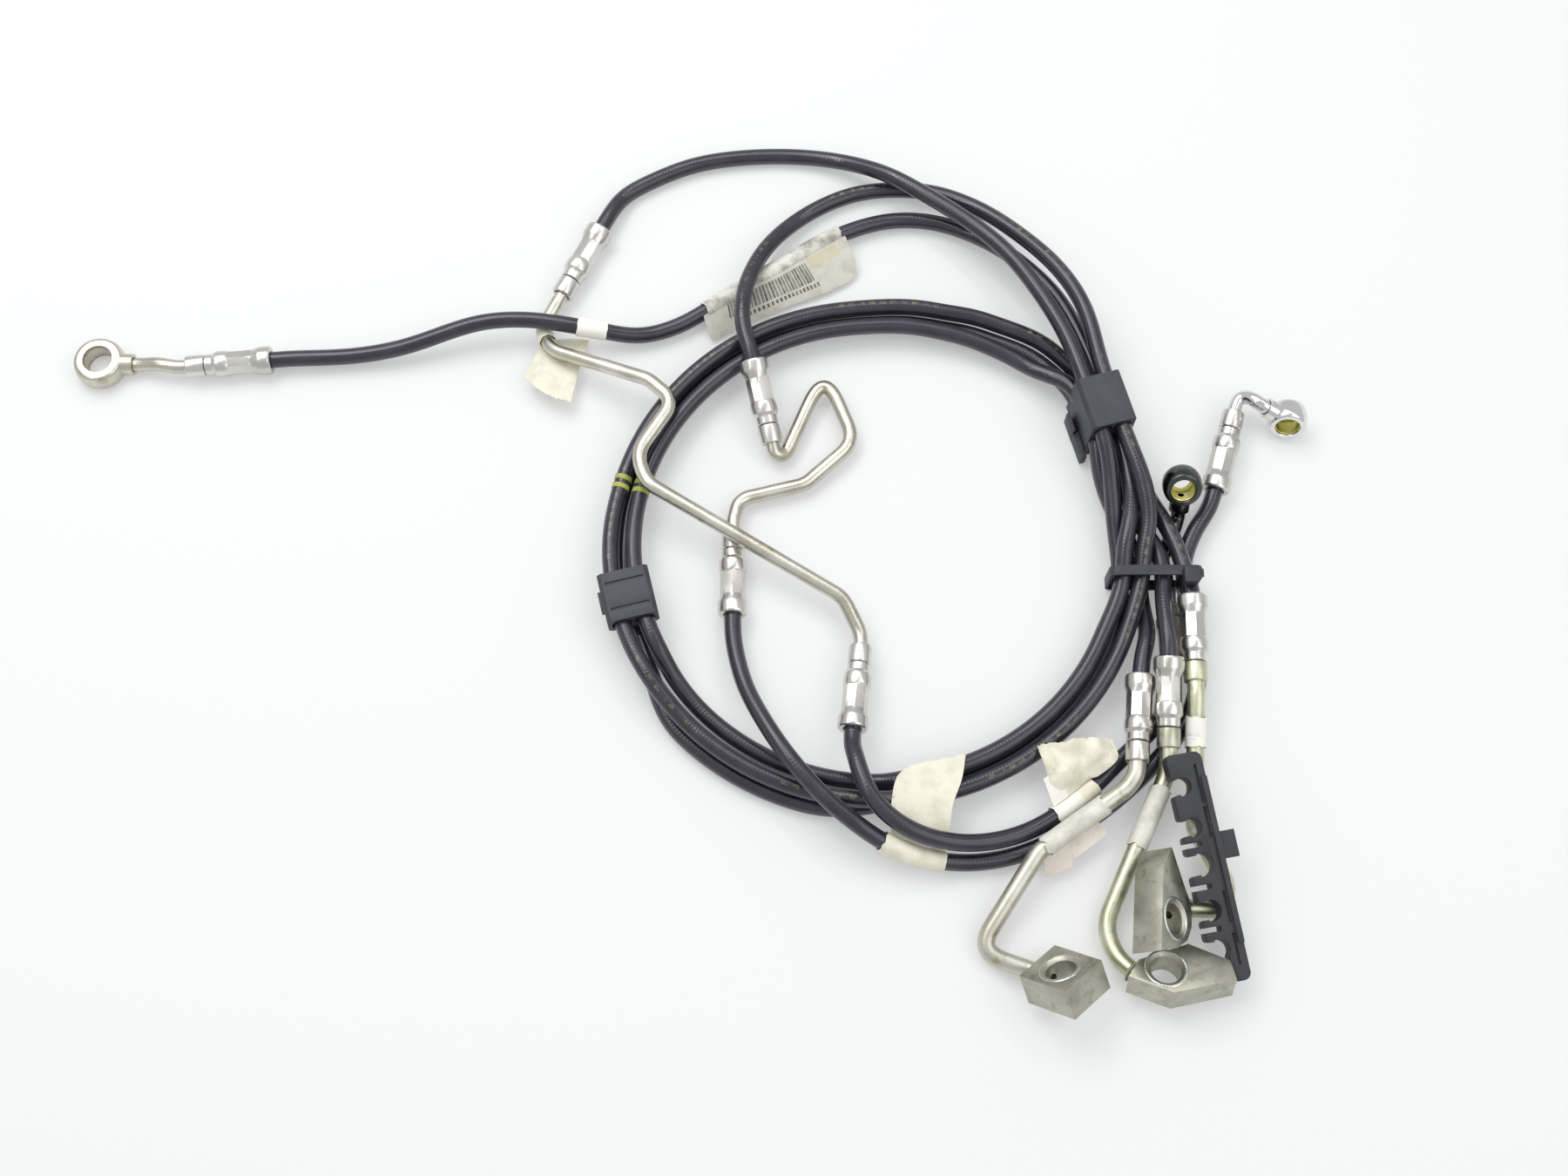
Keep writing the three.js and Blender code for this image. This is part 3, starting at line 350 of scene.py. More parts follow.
def soften(piece: Piece, width: float = 0.0, segments: int = 2, angle: float = 40) -> Piece:
    """Breaks a piece's sharp edges and shades it smooth between them.

    Args:
        piece: the mesh object.
        width: how far the edges are broken, in millimetres.
        segments: the faces across each broken edge.
        angle: in degrees, from which an edge is sharp.

    Returns:
        The same object.
    """
    if width > 0:
        apply_modifier(
            piece, "BEVEL", width=width * MM, segments=segments, limit_method="ANGLE",
            angle_limit=math.radians(angle), use_clamp_overlap=True, harden_normals=False,
        )
    activate(piece)
    bpy.ops.object.shade_smooth_by_angle(angle=math.radians(angle))
    return piece


def mended(piece: Piece) -> Piece:
    """Merges doubles and turns the faces outward.

    Args:
        piece: the mesh object.

    Returns:
        The same object.
    """
    activate(piece)
    with editing():
        bpy.ops.mesh.remove_doubles(threshold=1e-6)
        bpy.ops.mesh.normals_make_consistent(inside=False)
    return piece


def turned(name: str, profile: Sequence[tuple[float, float]], sides: int, closed: bool = True) -> Piece:
    """Turns a piece on its own Z, as on a lathe, by extruding and scaling a ring.

    Args:
        name: the piece's name.
        profile: radius and height of each ring, in order.
        sides: the ring's sides.
        closed: True joins the last ring to the first; False closes both ends with a face.

    Returns:
        The mesh object.
    """
    radius, height = profile[0]
    deselect()
    bpy.ops.mesh.primitive_circle_add(
        vertices=sides, radius=radius * MM, location=(0, 0, 0), fill_type="NOTHING" if closed else "NGON"
    )
    piece = named(name)
    piece.data.transform(Matrix.Translation((0, 0, height * MM)))
    with editing():
        for next_radius, next_height in profile[1:]:
            rise = (0, 0, (next_height - height) * MM)
            bpy.ops.mesh.extrude_region_move(TRANSFORM_OT_translate={"value": rise})
            grow = next_radius / radius
            bpy.ops.transform.resize(value=(grow, grow, 1), center_override=(0, 0, next_height * MM))
            radius, height = next_radius, next_height
        if closed:
            bpy.ops.mesh.select_all(action="DESELECT")
            bpy.ops.mesh.select_non_manifold()
            bpy.ops.mesh.bridge_edge_loops()
    return mended(piece)


def prism(name: str, outline: Sequence[Sequence[float]], low: float, high: float) -> Piece:
    """Extrudes an outline along Z.

    Args:
        name: the piece's name.
        outline: the corners, counter-clockwise.
        low: the lower face's height.
        high: the upper face's height.

    Returns:
        The mesh object.
    """
    deselect()
    bpy.ops.mesh.primitive_circle_add(vertices=len(outline), radius=MM, fill_type="NGON")
    piece = named(name)
    for vertex, corner in zip(piece.data.vertices, outline):
        vertex.co = (corner[0] * MM, corner[1] * MM, low * MM)
    with editing():
        bpy.ops.mesh.extrude_region_move(TRANSFORM_OT_translate={"value": (0, 0, (high - low) * MM)})
    return mended(piece)


def rod(
    name: str, radius: float, start: Sequence[float], end: Sequence[float], sides: int = 40
) -> Piece:
    """A plain rod, for cutting and joining.

    Args:
        name: its name.
        radius: its radius.
        start: the middle of one end.
        end: the middle of the other.
        sides: the sides of its section.

    Returns:
        The mesh object.
    """
    start, end = Vector(start), Vector(end)
    deselect()
    bpy.ops.mesh.primitive_cylinder_add(vertices=sides, radius=radius * MM, depth=(end - start).length * MM)
    piece = named(name)
    piece.data.transform(basis((start + end) / 2 * MM, end - start, Vector((0.31, 0.83, 0.47))))
    return piece


def box(name: str, size: Sequence[float], centre: Sequence[float], edge: float = 0.0) -> Piece:
    """A box, for cutting and joining.

    Args:
        name: its name.
        size: its width, depth and height.
        centre: its middle.
        edge: how far each edge is broken.

    Returns:
        The mesh object.
    """
    x, y = size[0] / 2, size[1] / 2
    piece = prism(name, [(-x, -y), (x, -y), (x, y), (-x, y)], -size[2] / 2, size[2] / 2)
    if edge > 0:
        apply_modifier(piece, "BEVEL", width=edge * MM, segments=2, limit_method="NONE")
    piece.data.transform(Matrix.Translation(Vector(centre) * MM))
    return piece


def boolean(body: Piece, tool: Piece, operation: str) -> None:
    """Changes a body by a tool, and removes the tool.

    Args:
        body: the mesh object that stays.
        tool: the mesh object that goes.
        operation: UNION or DIFFERENCE.
    """
    apply_modifier(body, "BOOLEAN", object=tool, operation=operation, solver="EXACT")
    bpy.data.objects.remove(tool)


def join(body: Piece, tool: Piece) -> None:
    """Joins a tool to a body."""
    boolean(body, tool, "UNION")


def cut(body: Piece, tool: Piece) -> None:
    """Cuts a body with a tool."""
    boolean(body, tool, "DIFFERENCE")


def tube(name: str, path: list[Vector], radius: float, sides: int = 24) -> Piece:
    """A round tube along a path, with closed ends and a UV map.

    Args:
        name: the piece's name.
        path: its centreline in the row frame, in metres.
        radius: its radius.
        sides: the sides of its section.

    Returns:
        The mesh object. In its UV map U goes round it, 0.25 on top, and V is the length in metres.
    """
    shape = bmesh.new()
    layer = shape.loops.layers.uv.new("along")
    rings: list[list[bmesh.types.BMVert]] = []
    lengths: list[float] = []
    travelled = 0.0
    angles = [2 * math.pi * k / sides for k in range(sides)]
    for i, point in enumerate(path):
        tangent = (path[min(i + 1, len(path) - 1)] - path[max(i - 1, 0)]).normalized()
        across = tangent.cross(UP).normalized()
        above = across.cross(tangent)
        travelled += (point - path[i - 1]).length if i else 0.0
        lengths.append(travelled)
        spokes = [(across * math.cos(a) + above * math.sin(a)) * radius * MM for a in angles]
        rings.append([shape.verts.new(point + spoke) for spoke in spokes])
    for i in range(len(rings) - 1):
        for k in range(sides):
            after = (k + 1) % sides
            face = shape.faces.new((rings[i][k], rings[i][after], rings[i + 1][after], rings[i + 1][k]))
            face.smooth = True
            corners = ((k, i), (k + 1, i), (k + 1, i + 1), (k, i + 1))
            for loop, (u, v) in zip(face.loops, corners):
                loop[layer].uv = (u / sides, lengths[v])
    shape.faces.new(list(reversed(rings[0])))
    shape.faces.new(rings[-1])
    bmesh.ops.recalc_face_normals(shape, faces=shape.faces)
    mesh = bpy.data.meshes.new(name)
    shape.to_mesh(mesh)
    shape.free()
    return linked(name, mesh)


# ---------------------------------------------------------------- finishes
class Tree:
    """A material and its nodes."""

    def __init__(self, name: str) -> None:
        """Makes a material with a Principled shader.

        Args:
            name: the material's name.
        """
        self.material = bpy.data.materials.new(name)
        self.material.use_nodes = True
        self.nodes = self.material.node_tree.nodes
        self.links = self.material.node_tree.links
        self.shader = self.nodes["Principled BSDF"]

    def feed(self, target: bpy.types.Node, inputs: dict | tuple) -> None:
        """Sets or links a node's inputs.

        Args:
            target: the node.
            inputs: values or the sockets that are linked, in order or by the input's name or number.
        """
        for key, value in (inputs if isinstance(inputs, dict) else dict(enumerate(inputs))).items():
            if isinstance(value, Socket):
                self.links.new(value, target.inputs[key])
            else:
                target.inputs[key].default_value = value

    def add(
        self, kind: str, inputs: dict | tuple = (), out: int | str = 0, **settings: object
    ) -> Socket:
        """Adds a node with its settings and links.

        Args:
            kind: the node's type, without the word ShaderNode.
            inputs: what its inputs are given, as for feed.
            out: the output that is wanted.
            **settings: what the node's own properties are set to.

        Returns:
            That output's socket.
        """
        made = self.nodes.new(f"ShaderNode{kind}")
        for key, value in settings.items():
            setattr(made, key, value)
        self.feed(made, inputs)
        return made.outputs[out]

    def speckle(self, size_mm: float, detail: float, low: float, high: float) -> Socket:
        """Grain, dust or stains of a real size.

        Args:
            size_mm: about how large the spots are.
            detail: how many finer sizes lie in them.
            low: the noise that becomes 0.
            high: the noise that becomes 1.

        Returns:
            The share of them at each place.
        """
        place = self.add("TexCoord", out="Object")
        scale = 1 / (size_mm * MM)
        grain = {"Vector": place, "Scale": scale, "Detail": detail, "Roughness": 0.6}
        cloud = self.add("TexNoise", grain, "Fac")
        return self.add("MapRange", (cloud, low, high), "Result")

    def layered(self, base: object, *layers: tuple[Socket, str]) -> Socket:
        """Lays colours over one another.

        Args:
            base: the lowest colour, linear.
            *layers: where each of the others lies, and its sRGB hex.

        Returns:
            The colour that shows.
        """
        for share, colour in layers:
            base = self.add("Mix", {0: share, 6: base, 7: linear(colour)}, 2, data_type="RGBA")
        return base

    def worked(self, value: Socket, *steps: tuple[str, object]) -> Socket:
        """Takes a value through arithmetic steps.

        Args:
            value: what the first step starts from.
            *steps: each step's operation, and the other value in it.

        Returns:
            What the last step gives.
        """
        for operation, other in steps:
            value = self.add("Math", (value, other), operation=operation)
        return value

    def finished(
        self, inputs: dict, height: Socket | None = None, depth_mm: float = 0.0, strength: float = 1.0
    ) -> bpy.types.Material:
        """Feeds the shader, and gives it and its coat a bump of a real depth.

        Args:
            inputs: the shader's inputs by name.
            height: the bump's height, if it has one.
            depth_mm: how deep the bump is.
            strength: how much of it shows.

        Returns:
            The material.
        """
        self.feed(self.shader, inputs)
        if height is not None:
            bump = {"Height": height, "Distance": depth_mm * MM, "Strength": strength}
            normal = self.add("Bump", bump, "Normal")
            self.feed(self.shader, {"Normal": normal, "Coat Normal": normal})
        return self.material


@dataclass(frozen=True)
class PlatedSteel:
    """Steel with an electroplated skin: a bright metal whose tint and gloss drift a little."""

    name: str
    pale: str
    deep: str
    roughness: tuple[float, float]
    grain_mm: float = 2.0
    stain: str = ""
    stain_share: tuple[float, float] = (0.56, 0.72)
    pit_depth_mm: float = 0.003

    def material(self) -> bpy.types.Material:
        """Builds the material.

        Returns:
            The material.
        """
        tree = Tree(self.name)
        drift = tree.speckle(self.grain_mm * 6, 4, 0.35, 0.65)
        fine = tree.speckle(self.grain_mm * 0.35, 3, 0.3, 0.7)
        colour = tree.layered(linear(self.deep), (drift, self.pale))
        if self.stain:
            patches = tree.speckle(self.grain_mm * 2.2, 5, *self.stain_share)
            colour = tree.layered(colour, (patches, self.stain))
        gloss = tree.worked(drift, ("MULTIPLY", 0.4), ("ADD", tree.worked(fine, ("MULTIPLY", 0.6))))
        low, high = self.roughness
        roughness = tree.add("MapRange", {"Value": gloss, "To Min": low, "To Max": high})
        pits = tree.speckle(self.grain_mm * 1.6, 2, 0.3, 0.7)
        shader = {"Base Color": colour, "Metallic": 1.0, "Roughness": roughness}
        return tree.finished(shader, pits, self.pit_depth_mm, 0.2)


@dataclass(frozen=True)
class HoseRubber:
    """Extruded EPDM rubber over a braid: near black with a violet cast, and the braid's ribs in its gloss."""

    name: str
    print_side: float = -1.0
    print_width: float = 0.034
    print_pitch_mm: float = 4.6
    word_pitch_mm: float = 83.0
    ink: float = 0.62
    rib_pitch_mm: float = 1.5
    rib_depth_mm: float = 0.04

    def material(self) -> bpy.types.Material:
        """Builds the material; a print side of 0 to 1 draws a worn line of dashes there, round the hose.

        Returns:
            The material.
        """
        tree = Tree(self.name)
        u = tree.add("SeparateXYZ", (tree.add("UVMap", out="UV", uv_map="along"),))
        v = u.node.outputs["Y"]
        dust = tree.speckle(11, 5, 0.38, 0.72)
        colour = tree.layered(linear("1d1c23"), (dust, "2f2e38"))
        worn = tree.add("MapRange", {"Value": tree.speckle(16, 3, 0.4, 0.62), "To Min": 0.15, "To Max": 1.0})
        turns = 2 * math.pi / (self.rib_pitch_mm * MM)
        ribs = tree.worked(v, ("MULTIPLY", turns), ("SINE", 0), ("MULTIPLY", worn))
        if self.print_side >= 0:
            colour = tree.layered(colour, (self.dashes(tree, u, v), "80824a"))
        roughness = tree.add("MapRange", {"Value": dust, "To Min": 0.36, "To Max": 0.52})
        return tree.finished({
            "Base Color": colour, "Roughness": roughness, "IOR": 1.5,
            "Specular Tint": linear("dcdaf0"), "Coat Weight": 0.7, "Coat Roughness": 0.08,
        }, ribs, self.rib_depth_mm, 0.4)

    def dashes(self, tree: Tree, u: Socket, v: Socket) -> Socket:
        """The line of dashes, in words with gaps between them.

        Args:
            tree: the material.
            u: the place round the hose.
            v: the length along it, in metres.

        Returns:
            How much ink lies at each place.
        """
        mask = tree.worked(u, ("SUBTRACT", self.print_side), ("ABSOLUTE", 0), ("LESS_THAN", self.print_width))
        for pitch, gap in ((self.print_pitch_mm, 0.42), (self.word_pitch_mm, 0.45)):
            inked = tree.worked(v, ("MULTIPLY", 1 / (pitch * MM)), ("FRACT", 0), ("GREATER_THAN", gap))
            mask = tree.worked(mask, ("MULTIPLY", inked))
        faded = tree.speckle(2.6, 4, 0.42, 0.66)
        return tree.worked(mask, ("MULTIPLY", faded), ("MULTIPLY", self.ink))


@dataclass(frozen=True)
class MouldedPlastic:
    """Injection-moulded nylon with a spark-eroded skin: dark grey, matte, a little dusty."""

    name: str
    pale: str = "43454e"
    deep: str = "33343c"
    grain_mm: float = 0.5
    grain_depth_mm: float = 0.03

    def material(self) -> bpy.types.Material:
        """Builds the material.

        Returns:
            The material.
        """
        tree = Tree(self.name)
        dust = tree.speckle(12, 4, 0.42, 0.7)
        colour = tree.layered(linear(self.deep), (dust, self.pale))
        roughness = tree.add("MapRange", {"Value": dust, "To Min": 0.5, "To Max": 0.66})
        grain = tree.speckle(self.grain_mm, 2, 0.3, 0.7)
        shader = {"Base Color": colour, "Roughness": roughness, "IOR": 1.53}
        return tree.finished(shader, grain, self.grain_depth_mm, 0.5)


@dataclass(frozen=True)
class LabelPaper:
    """Coated label paper: off-white, matte, with creases, thumb marks and, if asked, printed bars."""

    name: str
    pale: str = "e9e6dc"
    grime: str = "bdb7a4"
    soil: tuple[float, float] = (0.46, 0.8)
    bars: bool = False
    crease_depth_mm: float = 0.18

    def material(self) -> bpy.types.Material:
        """Builds the material.

        Returns:
            The material.
        """
        tree = Tree(self.name)
        smudge = tree.speckle(7, 5, *self.soil)
        specks = tree.worked(tree.speckle(1.6, 3, 0.66, 0.78), ("MULTIPLY", 0.4))
        colour = tree.layered(linear(self.pale), (smudge, self.grime), (specks, "8a846f"))
        if self.bars:
            colour = self.printed(tree, colour)
        roughness = tree.add("MapRange", {"Value": smudge, "To Min": 0.45, "To Max": 0.7})
        creases = tree.speckle(4, 4, 0.3, 0.7)
        shader = {"Base Color": colour, "Roughness": roughness}
        return tree.finished(shader, creases, self.crease_depth_mm, 0.55)

    def printed(self, tree: Tree, colour: Socket) -> Socket:
        """Draws bars across the sheet, a row of short dashes beyond them, and a yellowed patch.

        Args:
            tree: the material.
            colour: the paper's colour.

        Returns:
            The colour with the print on it.
        """
        u = tree.add("SeparateXYZ", (tree.add("UVMap", out="UV", uv_map="sheet"),))
        v = u.node.outputs["Y"]
        narrow = tree.worked(u, ("MULTIPLY", 733.0), ("SINE", 0))
        bars = tree.worked(u, ("MULTIPLY", 310.0), ("SINE", 0), ("ADD", narrow), ("GREATER_THAN", -0.15))
        bars = tree.worked(bars, ("MULTIPLY", self.window(tree, u, v, (0.18, 0.72), (0.1, 0.62))))
        row = tree.worked(u, ("MULTIPLY", 41.0), ("FRACT", 0), ("GREATER_THAN", 0.45))
        row = tree.worked(row, ("MULTIPLY", self.window(tree, u, v, (0.24, 0.74), (0.68, 0.79))))
        worn = tree.add("MapRange", {"Value": tree.speckle(2, 4, 0.4, 0.7), "To Min": 0.95, "To Max": 0.6})
        ink = tree.worked(bars, ("MAXIMUM", row), ("MULTIPLY", worn))
        stain = tree.worked(self.window(tree, u, v, (0.73, 0.93), (0.04, 0.34)), ("MULTIPLY", 0.45))
        return tree.layered(colour, (ink, "2c2b29"), (stain, "bdb384"))

    @staticmethod
    def window(
        tree: Tree, u: Socket, v: Socket,
        across: tuple[float, float], out: tuple[float, float],
    ) -> Socket:
        """A rectangle of the sheet.

        Args:
            tree: the material.
            u: the place across the sheet.
            v: the place out from its glued edge.
            across: where the rectangle starts and ends in u.
            out: where it starts and ends in v.

        Returns:
            A mask that is 1 inside it.
        """
        mask = tree.worked(u, ("GREATER_THAN", across[0]))
        for place, side, edge in (
            (u, "LESS_THAN", across[1]), (v, "GREATER_THAN", out[0]), (v, "LESS_THAN", out[1])
        ):
            mask = tree.worked(mask, ("MULTIPLY", tree.worked(place, (side, edge))))
        return mask


@dataclass(frozen=True)
class MarkPaint:
    """Brushed marking paint on rubber: yellow-green, thin, a little broken."""

    name: str

    def material(self) -> bpy.types.Material:
        """Builds the material.

        Returns:
            The material.
        """
        tree = Tree(self.name)
        thin = tree.speckle(1.2, 4, 0.5, 0.75)
        colour = tree.layered(linear("a9ad52"), (thin, "5d6138"))
        return tree.finished({"Base Color": colour, "Roughness": 0.55})


class Finish(Enum):
    """The finishes of the set's pieces, each with the record's slot that it belongs to."""

    # Near black with a violet cast; long soft lights run along it, broken by faint ribs.
    HOSE = HoseRubber("satin_epdm_hose"), "hose_rubber"
    # The same rubber, with a rubbed line of yellow-green dashes.
    HOSE_PRINTED = HoseRubber("satin_epdm_hose_printed", 0.27), "hose_rubber"
    # Silver-white, smooth on the flats, so that each crimp shows as a bright or dark facet.
    FERRULE = PlatedSteel("bright_zinc_crimp", "dddbd6", "c4c2bc", (0.24, 0.34), 4.0), "ferrule_zinc"
    # Warm silver with one sharp light along the tube and a few duller, yellower patches.
    LINE = (
        PlatedSteel("warm_zinc_tube", "d9d6ca", "bfbaab", (0.24, 0.36), 3.0, "a09a80", (0.6, 0.8)),
        "line_zinc",
    )
    # A broad, soft light under a faint yellow-green tint.
    PASSIVATED = (
        PlatedSteel("yellow_passivated_zinc", "d9d9c2", "c0c0a4", (0.34, 0.5), 2.4, "a3afa3"),
        "passivated_zinc",
    )
    # The same skin gone grey, with darker blotches.
    GREY_ZINC = (
        PlatedSteel("greyed_zinc_collar", "d4d2c6", "b0ae9d", (0.34, 0.5), 2.4, "8f8d7a"),
        "passivated_zinc",
    )
    # Mirror-like: it shows the lamps and the floor.
    BRIGHT = PlatedSteel("bright_nickel", "e8e8e7", "d6d6d5", (0.06, 0.14), 4.0), "bright_plating"
    # Smoke-dark mirror with clear lights.
    BLACK = PlatedSteel("gloss_black_nickel", "5a5c5b", "3a3c3c", (0.1, 0.2), 4.0), "black_plating"
    # A clean pale ring where a cutter has faced the block.
    MACHINED = PlatedSteel("machined_zinc_land", "dededa", "c2c2ba", (0.2, 0.34), 1.2), "block_zinc"
    # Pale and nearly matte, with faint brown-grey patches.
    PORT_TUBE = (
        PlatedSteel("pale_zinc_tube", "d9d7cb", "bfbcae", (0.36, 0.52), 3.0, "98957f", (0.58, 0.76)),
        "line_zinc",
    )
    # Dull grey-green metal with cloudy patches and no sharp lights.
    BLOCK = (
        PlatedSteel("dull_zinc_block", "c1c0b2", "a7a798", (0.34, 0.52), 2.0, "8b8c78", (0.54, 0.78)),
        "block_zinc",
    )
    # Yellow glint inside the eye's hole.
    SEAT = PlatedSteel("passivated_seat", "e2de92", "bdb968", (0.3, 0.45)), "passivated_zinc"
    # Slate grey with an even, fine, matte grain.
    CLIP = MouldedPlastic("spark_eroded_nylon"), "clip_plastic"
    # Darker and closer to black.
    COMB = MouldedPlastic("smooth_black_nylon", "34353c", "26272d"), "clip_plastic"
    # Between the two.
    TIE = MouldedPlastic("smooth_nylon_tie", "3c3e46", "2e2f36"), "clip_plastic"
    # Off-white and matte, with soft creases and thumb marks.
    PAPER = LabelPaper("label_paper"), "label_paper"
    # Greyer, with dark generic bars and dashes.
    PAPER_PRINTED = LabelPaper("label_paper_with_bars", "c9c6bb", "aba797", (0.45, 0.8), True), "label_paper"
    # Cream, as old paper is.
    PAPER_AGED = LabelPaper("aged_label_paper", "e6e2d1", "cbc5ac", (0.45, 0.85)), "label_paper"
    # Grey-cream, as film over metal is.
    PAPER_FILM = LabelPaper("aged_label_film", "dedcd2", "bdbbaa", (0.42, 0.75)), "label_paper"
    # White with large dark smudges.
    PAPER_GRIMED = LabelPaper("grimed_label_paper", "dcd9cf", "98958a", (0.44, 0.66)), "label_paper"
    # White with a pink cast.
    PAPER_PINKED = LabelPaper("sun_pinked_label_paper", "e9e0d6", "d3c6b6", (0.45, 0.8)), "label_paper"
    # Matte yellow-green stripe, thinner in places.
    PAINT = MarkPaint("yellow_mark_paint"), "hose_rubber"

    def __init__(
        self, look: PlatedSteel | HoseRubber | MouldedPlastic | LabelPaper | MarkPaint, slot: str
    ) -> None:
        """Keeps the look and the slot."""
        self.look = look
        self.slot = slot

    def made(self) -> bpy.types.Material:
        """The finish's material, made once."""
        return bpy.data.materials.get(self.look.name) or self.look.material()


def dress(piece: Piece, finish: Finish, *nodes: str) -> None:
    """Gives a piece its finish, sets it on the set's one body and hides the CAD nodes that it replaces.

    Args:
        piece: the finished mesh object.
        finish: its finish.
        *nodes: the CAD nodes that it replaces.
    """
    piece.data.materials.clear()
    piece.data.materials.append(finish.made())
    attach(piece, "root")
    if nodes:
        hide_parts(*nodes)
    log.info("%s: %d faces, %s", piece.name, len(piece.data.polygons), finish.look.name)


def set_in_place(piece: Piece, place: Matrix, finish: Finish, *nodes: str) -> None:
    """Moves a modelled piece to its place in the row frame and dresses it.

    Args:
        piece: the mesh object, modelled at the origin.
        place: where it goes.
        finish: its finish.
        *nodes: the CAD nodes that it replaces.
    """
    piece.data.transform(place)
    dress(piece, finish, *nodes)


# ---------------------------------------------------------------- fittings
@dataclass
class CrimpedFitting:
    """A ferrule crimped on a hose's end, and the collar that joins it to its hard tube."""

    name: str
    mouth: Place
    collar_end: Place
    collar: Finish = Finish.FERRULE
    tube_lead: float = 5.0

    @property
    def axis(self) -> Vector:
        """The way from the hose to the tube."""
        return (Vector(self.collar_end) - Vector(self.mouth)).normalized()

    @property
    def throat(self) -> list[Vector]:
        """Where the hose leaves the mouth, and a point further out on the same line."""
        return [self.along(0), self.along(-2 * HOSE_RADIUS)]

    @property
    def seats(self) -> list[Vector]:
        """Where the hard tube seats in the collar, and a point further out on the same line."""
        return [self.along(FITTING_LENGTH - TUBE_BITE), self.along(FITTING_LENGTH + self.tube_lead)]

    def along(self, distance: float) -> Vector:
        """The point of its axis at a distance from the mouth, on the layout."""
        return Vector(self.mouth) + self.axis * distance

    def build(self, floor: Floor, ferrule: Piece, collar: Piece) -> None:
        """Sets copies of the ferrule and the collar in place.

        Args:
            floor: the layout's place.
            ferrule: the ferrule that is copied.
            collar: the collar that is copied.
        """
        collar_start = FERRULE_LENGTH + FACE_GAP
        parts = ((ferrule, "ferrule", 0.0, Finish.FERRULE), (collar, "collar", collar_start, self.collar))
        for master, part, start, finish in parts:
            piece = linked(f"{self.name}_{part}_skin", master.data.copy())
            place = basis(floor.at(self.along(start)), self.axis, UP)
            set_in_place(piece, place, finish, f"{self.name}_{part}")


@dataclass
class FittingShop:
    """Turns the ferrule and the collar that every fitting copies."""

    flats: int = 8
    sides: int = 64
    bell: float = 6.1
    waist: float = 5.25
    ring: float = 5.65
    neck: float = 4.6
    crimp: tuple[float, float] = (7.0, 18.7)
    crimp_core: float = 4.8
    bore: float = 3.1

    def ferrule(self) -> Piece:
        """The ferrule: bell mouth, crimped waist with flats, bead and neck.

        Returns:
            The mesh object.
        """
        bell, waist, ring, neck = self.bell, self.waist, self.ring, self.neck
        piece = turned("ferrule", [
            (3.6, 4.0), (3.65, 0.5), (3.9, 0.0), (bell - 0.7, 0.0), (bell - 0.2, 0.35), (bell, 0.95),
            (bell, 4.6), (bell - 0.15, 5.4), (bell - 0.6, 6.4), (waist, 7.6), (waist, 8.2), (waist, 11.5),
            (waist, 14.8), (waist, 18.0), (waist + 0.05, 18.5), (ring - 0.1, 19.4), (ring, 20.0),
            (ring, 22.8), (ring - 0.15, 23.4), (neck + 0.25, 24.3), (neck, 24.8), (neck, 27.7),
            (neck - 0.3, 28.0), (3.3, 28.0),
        ], self.sides, closed=False)
        for vertex in piece.data.vertices:
            flat = self.crimped(vertex.co)
            vertex.co.x *= flat
            vertex.co.y *= flat
        return soften(piece, angle=16)

    def crimped(self, place: Vector) -> float:
        """How much nearer the axis the crimping dies leave a point of the skin.

        Args:
            place: the point, in metres.

        Returns:
            What its X and Y are multiplied by.
        """
        low, high = self.crimp
        height = place.z / MM
        if not low < height < high or math.hypot(place.x, place.y) <= self.crimp_core * MM:
            return 1.0
        step = 2 * math.pi / self.flats
        turn = math.atan2(place.y, place.x) % step - step / 2
        depth = min(1.0, (height - low) / 1.4, high - height)
        return mix(1.03, 0.985 * math.cos(step / 2) / math.cos(turn), depth)

    def collar(self) -> Piece:
        """The collar: a short brazing sleeve with broken edges.

        Returns:
            The mesh object.
        """
        piece = turned("collar", [
            (3.0, 0.0), (4.2, 0.0), (4.6, 0.35), (4.7, 0.8), (4.7, 7.2), (4.6, 7.7), (4.3, 8.0),
            (self.bore + 0.5, 8.0), (self.bore + 0.25, 7.6), (self.bore + 0.2, 5.0),
        ], self.sides, closed=False)
        return soften(piece, angle=30)


A_IN = CrimpedFitting("hose_a_inlet", (-220, 102, 6.2), (-256, 98.6, 6.4))
B_IN = CrimpedFitting("hose_b_inlet", (-81, 166, 6.2), (-97, 133, 6.2))
C_IN = CrimpedFitting("hose_c_inlet", (-13, 96, 17.6), (-5, 62, 8))
D_IN = CrimpedFitting("hose_d_inlet", (27, -64, 12), (31, -28, 8))
E_IN = CrimpedFitting("hose_e_inlet", (-21, -14, 6.2), (-21, 22, 6.2))
A_OUT = CrimpedFitting("hose_a_outlet", (142.4, -42, 12), (138.4, -78, 14.4))
B_OUT = CrimpedFitting("hose_b_outlet", (153, -36, 18.8), (151.5, -72, 12.6), Finish.GREY_ZINC)
C_OUT = CrimpedFitting("hose_c_outlet", (165, -9, 15.2), (163.8, -45, 15), Finish.PASSIVATED)
D_OUT = CrimpedFitting("hose_d_outlet", (157, -39.4, 6.2), (157, -3, 6.2))
E_OUT = CrimpedFitting("hose_e_outlet", (180.2, 41, 6.2), (190.2, 75, 9))
FITTINGS = (A_IN, B_IN, C_IN, D_IN, E_IN, A_OUT, B_OUT, C_OUT, D_OUT, E_OUT)


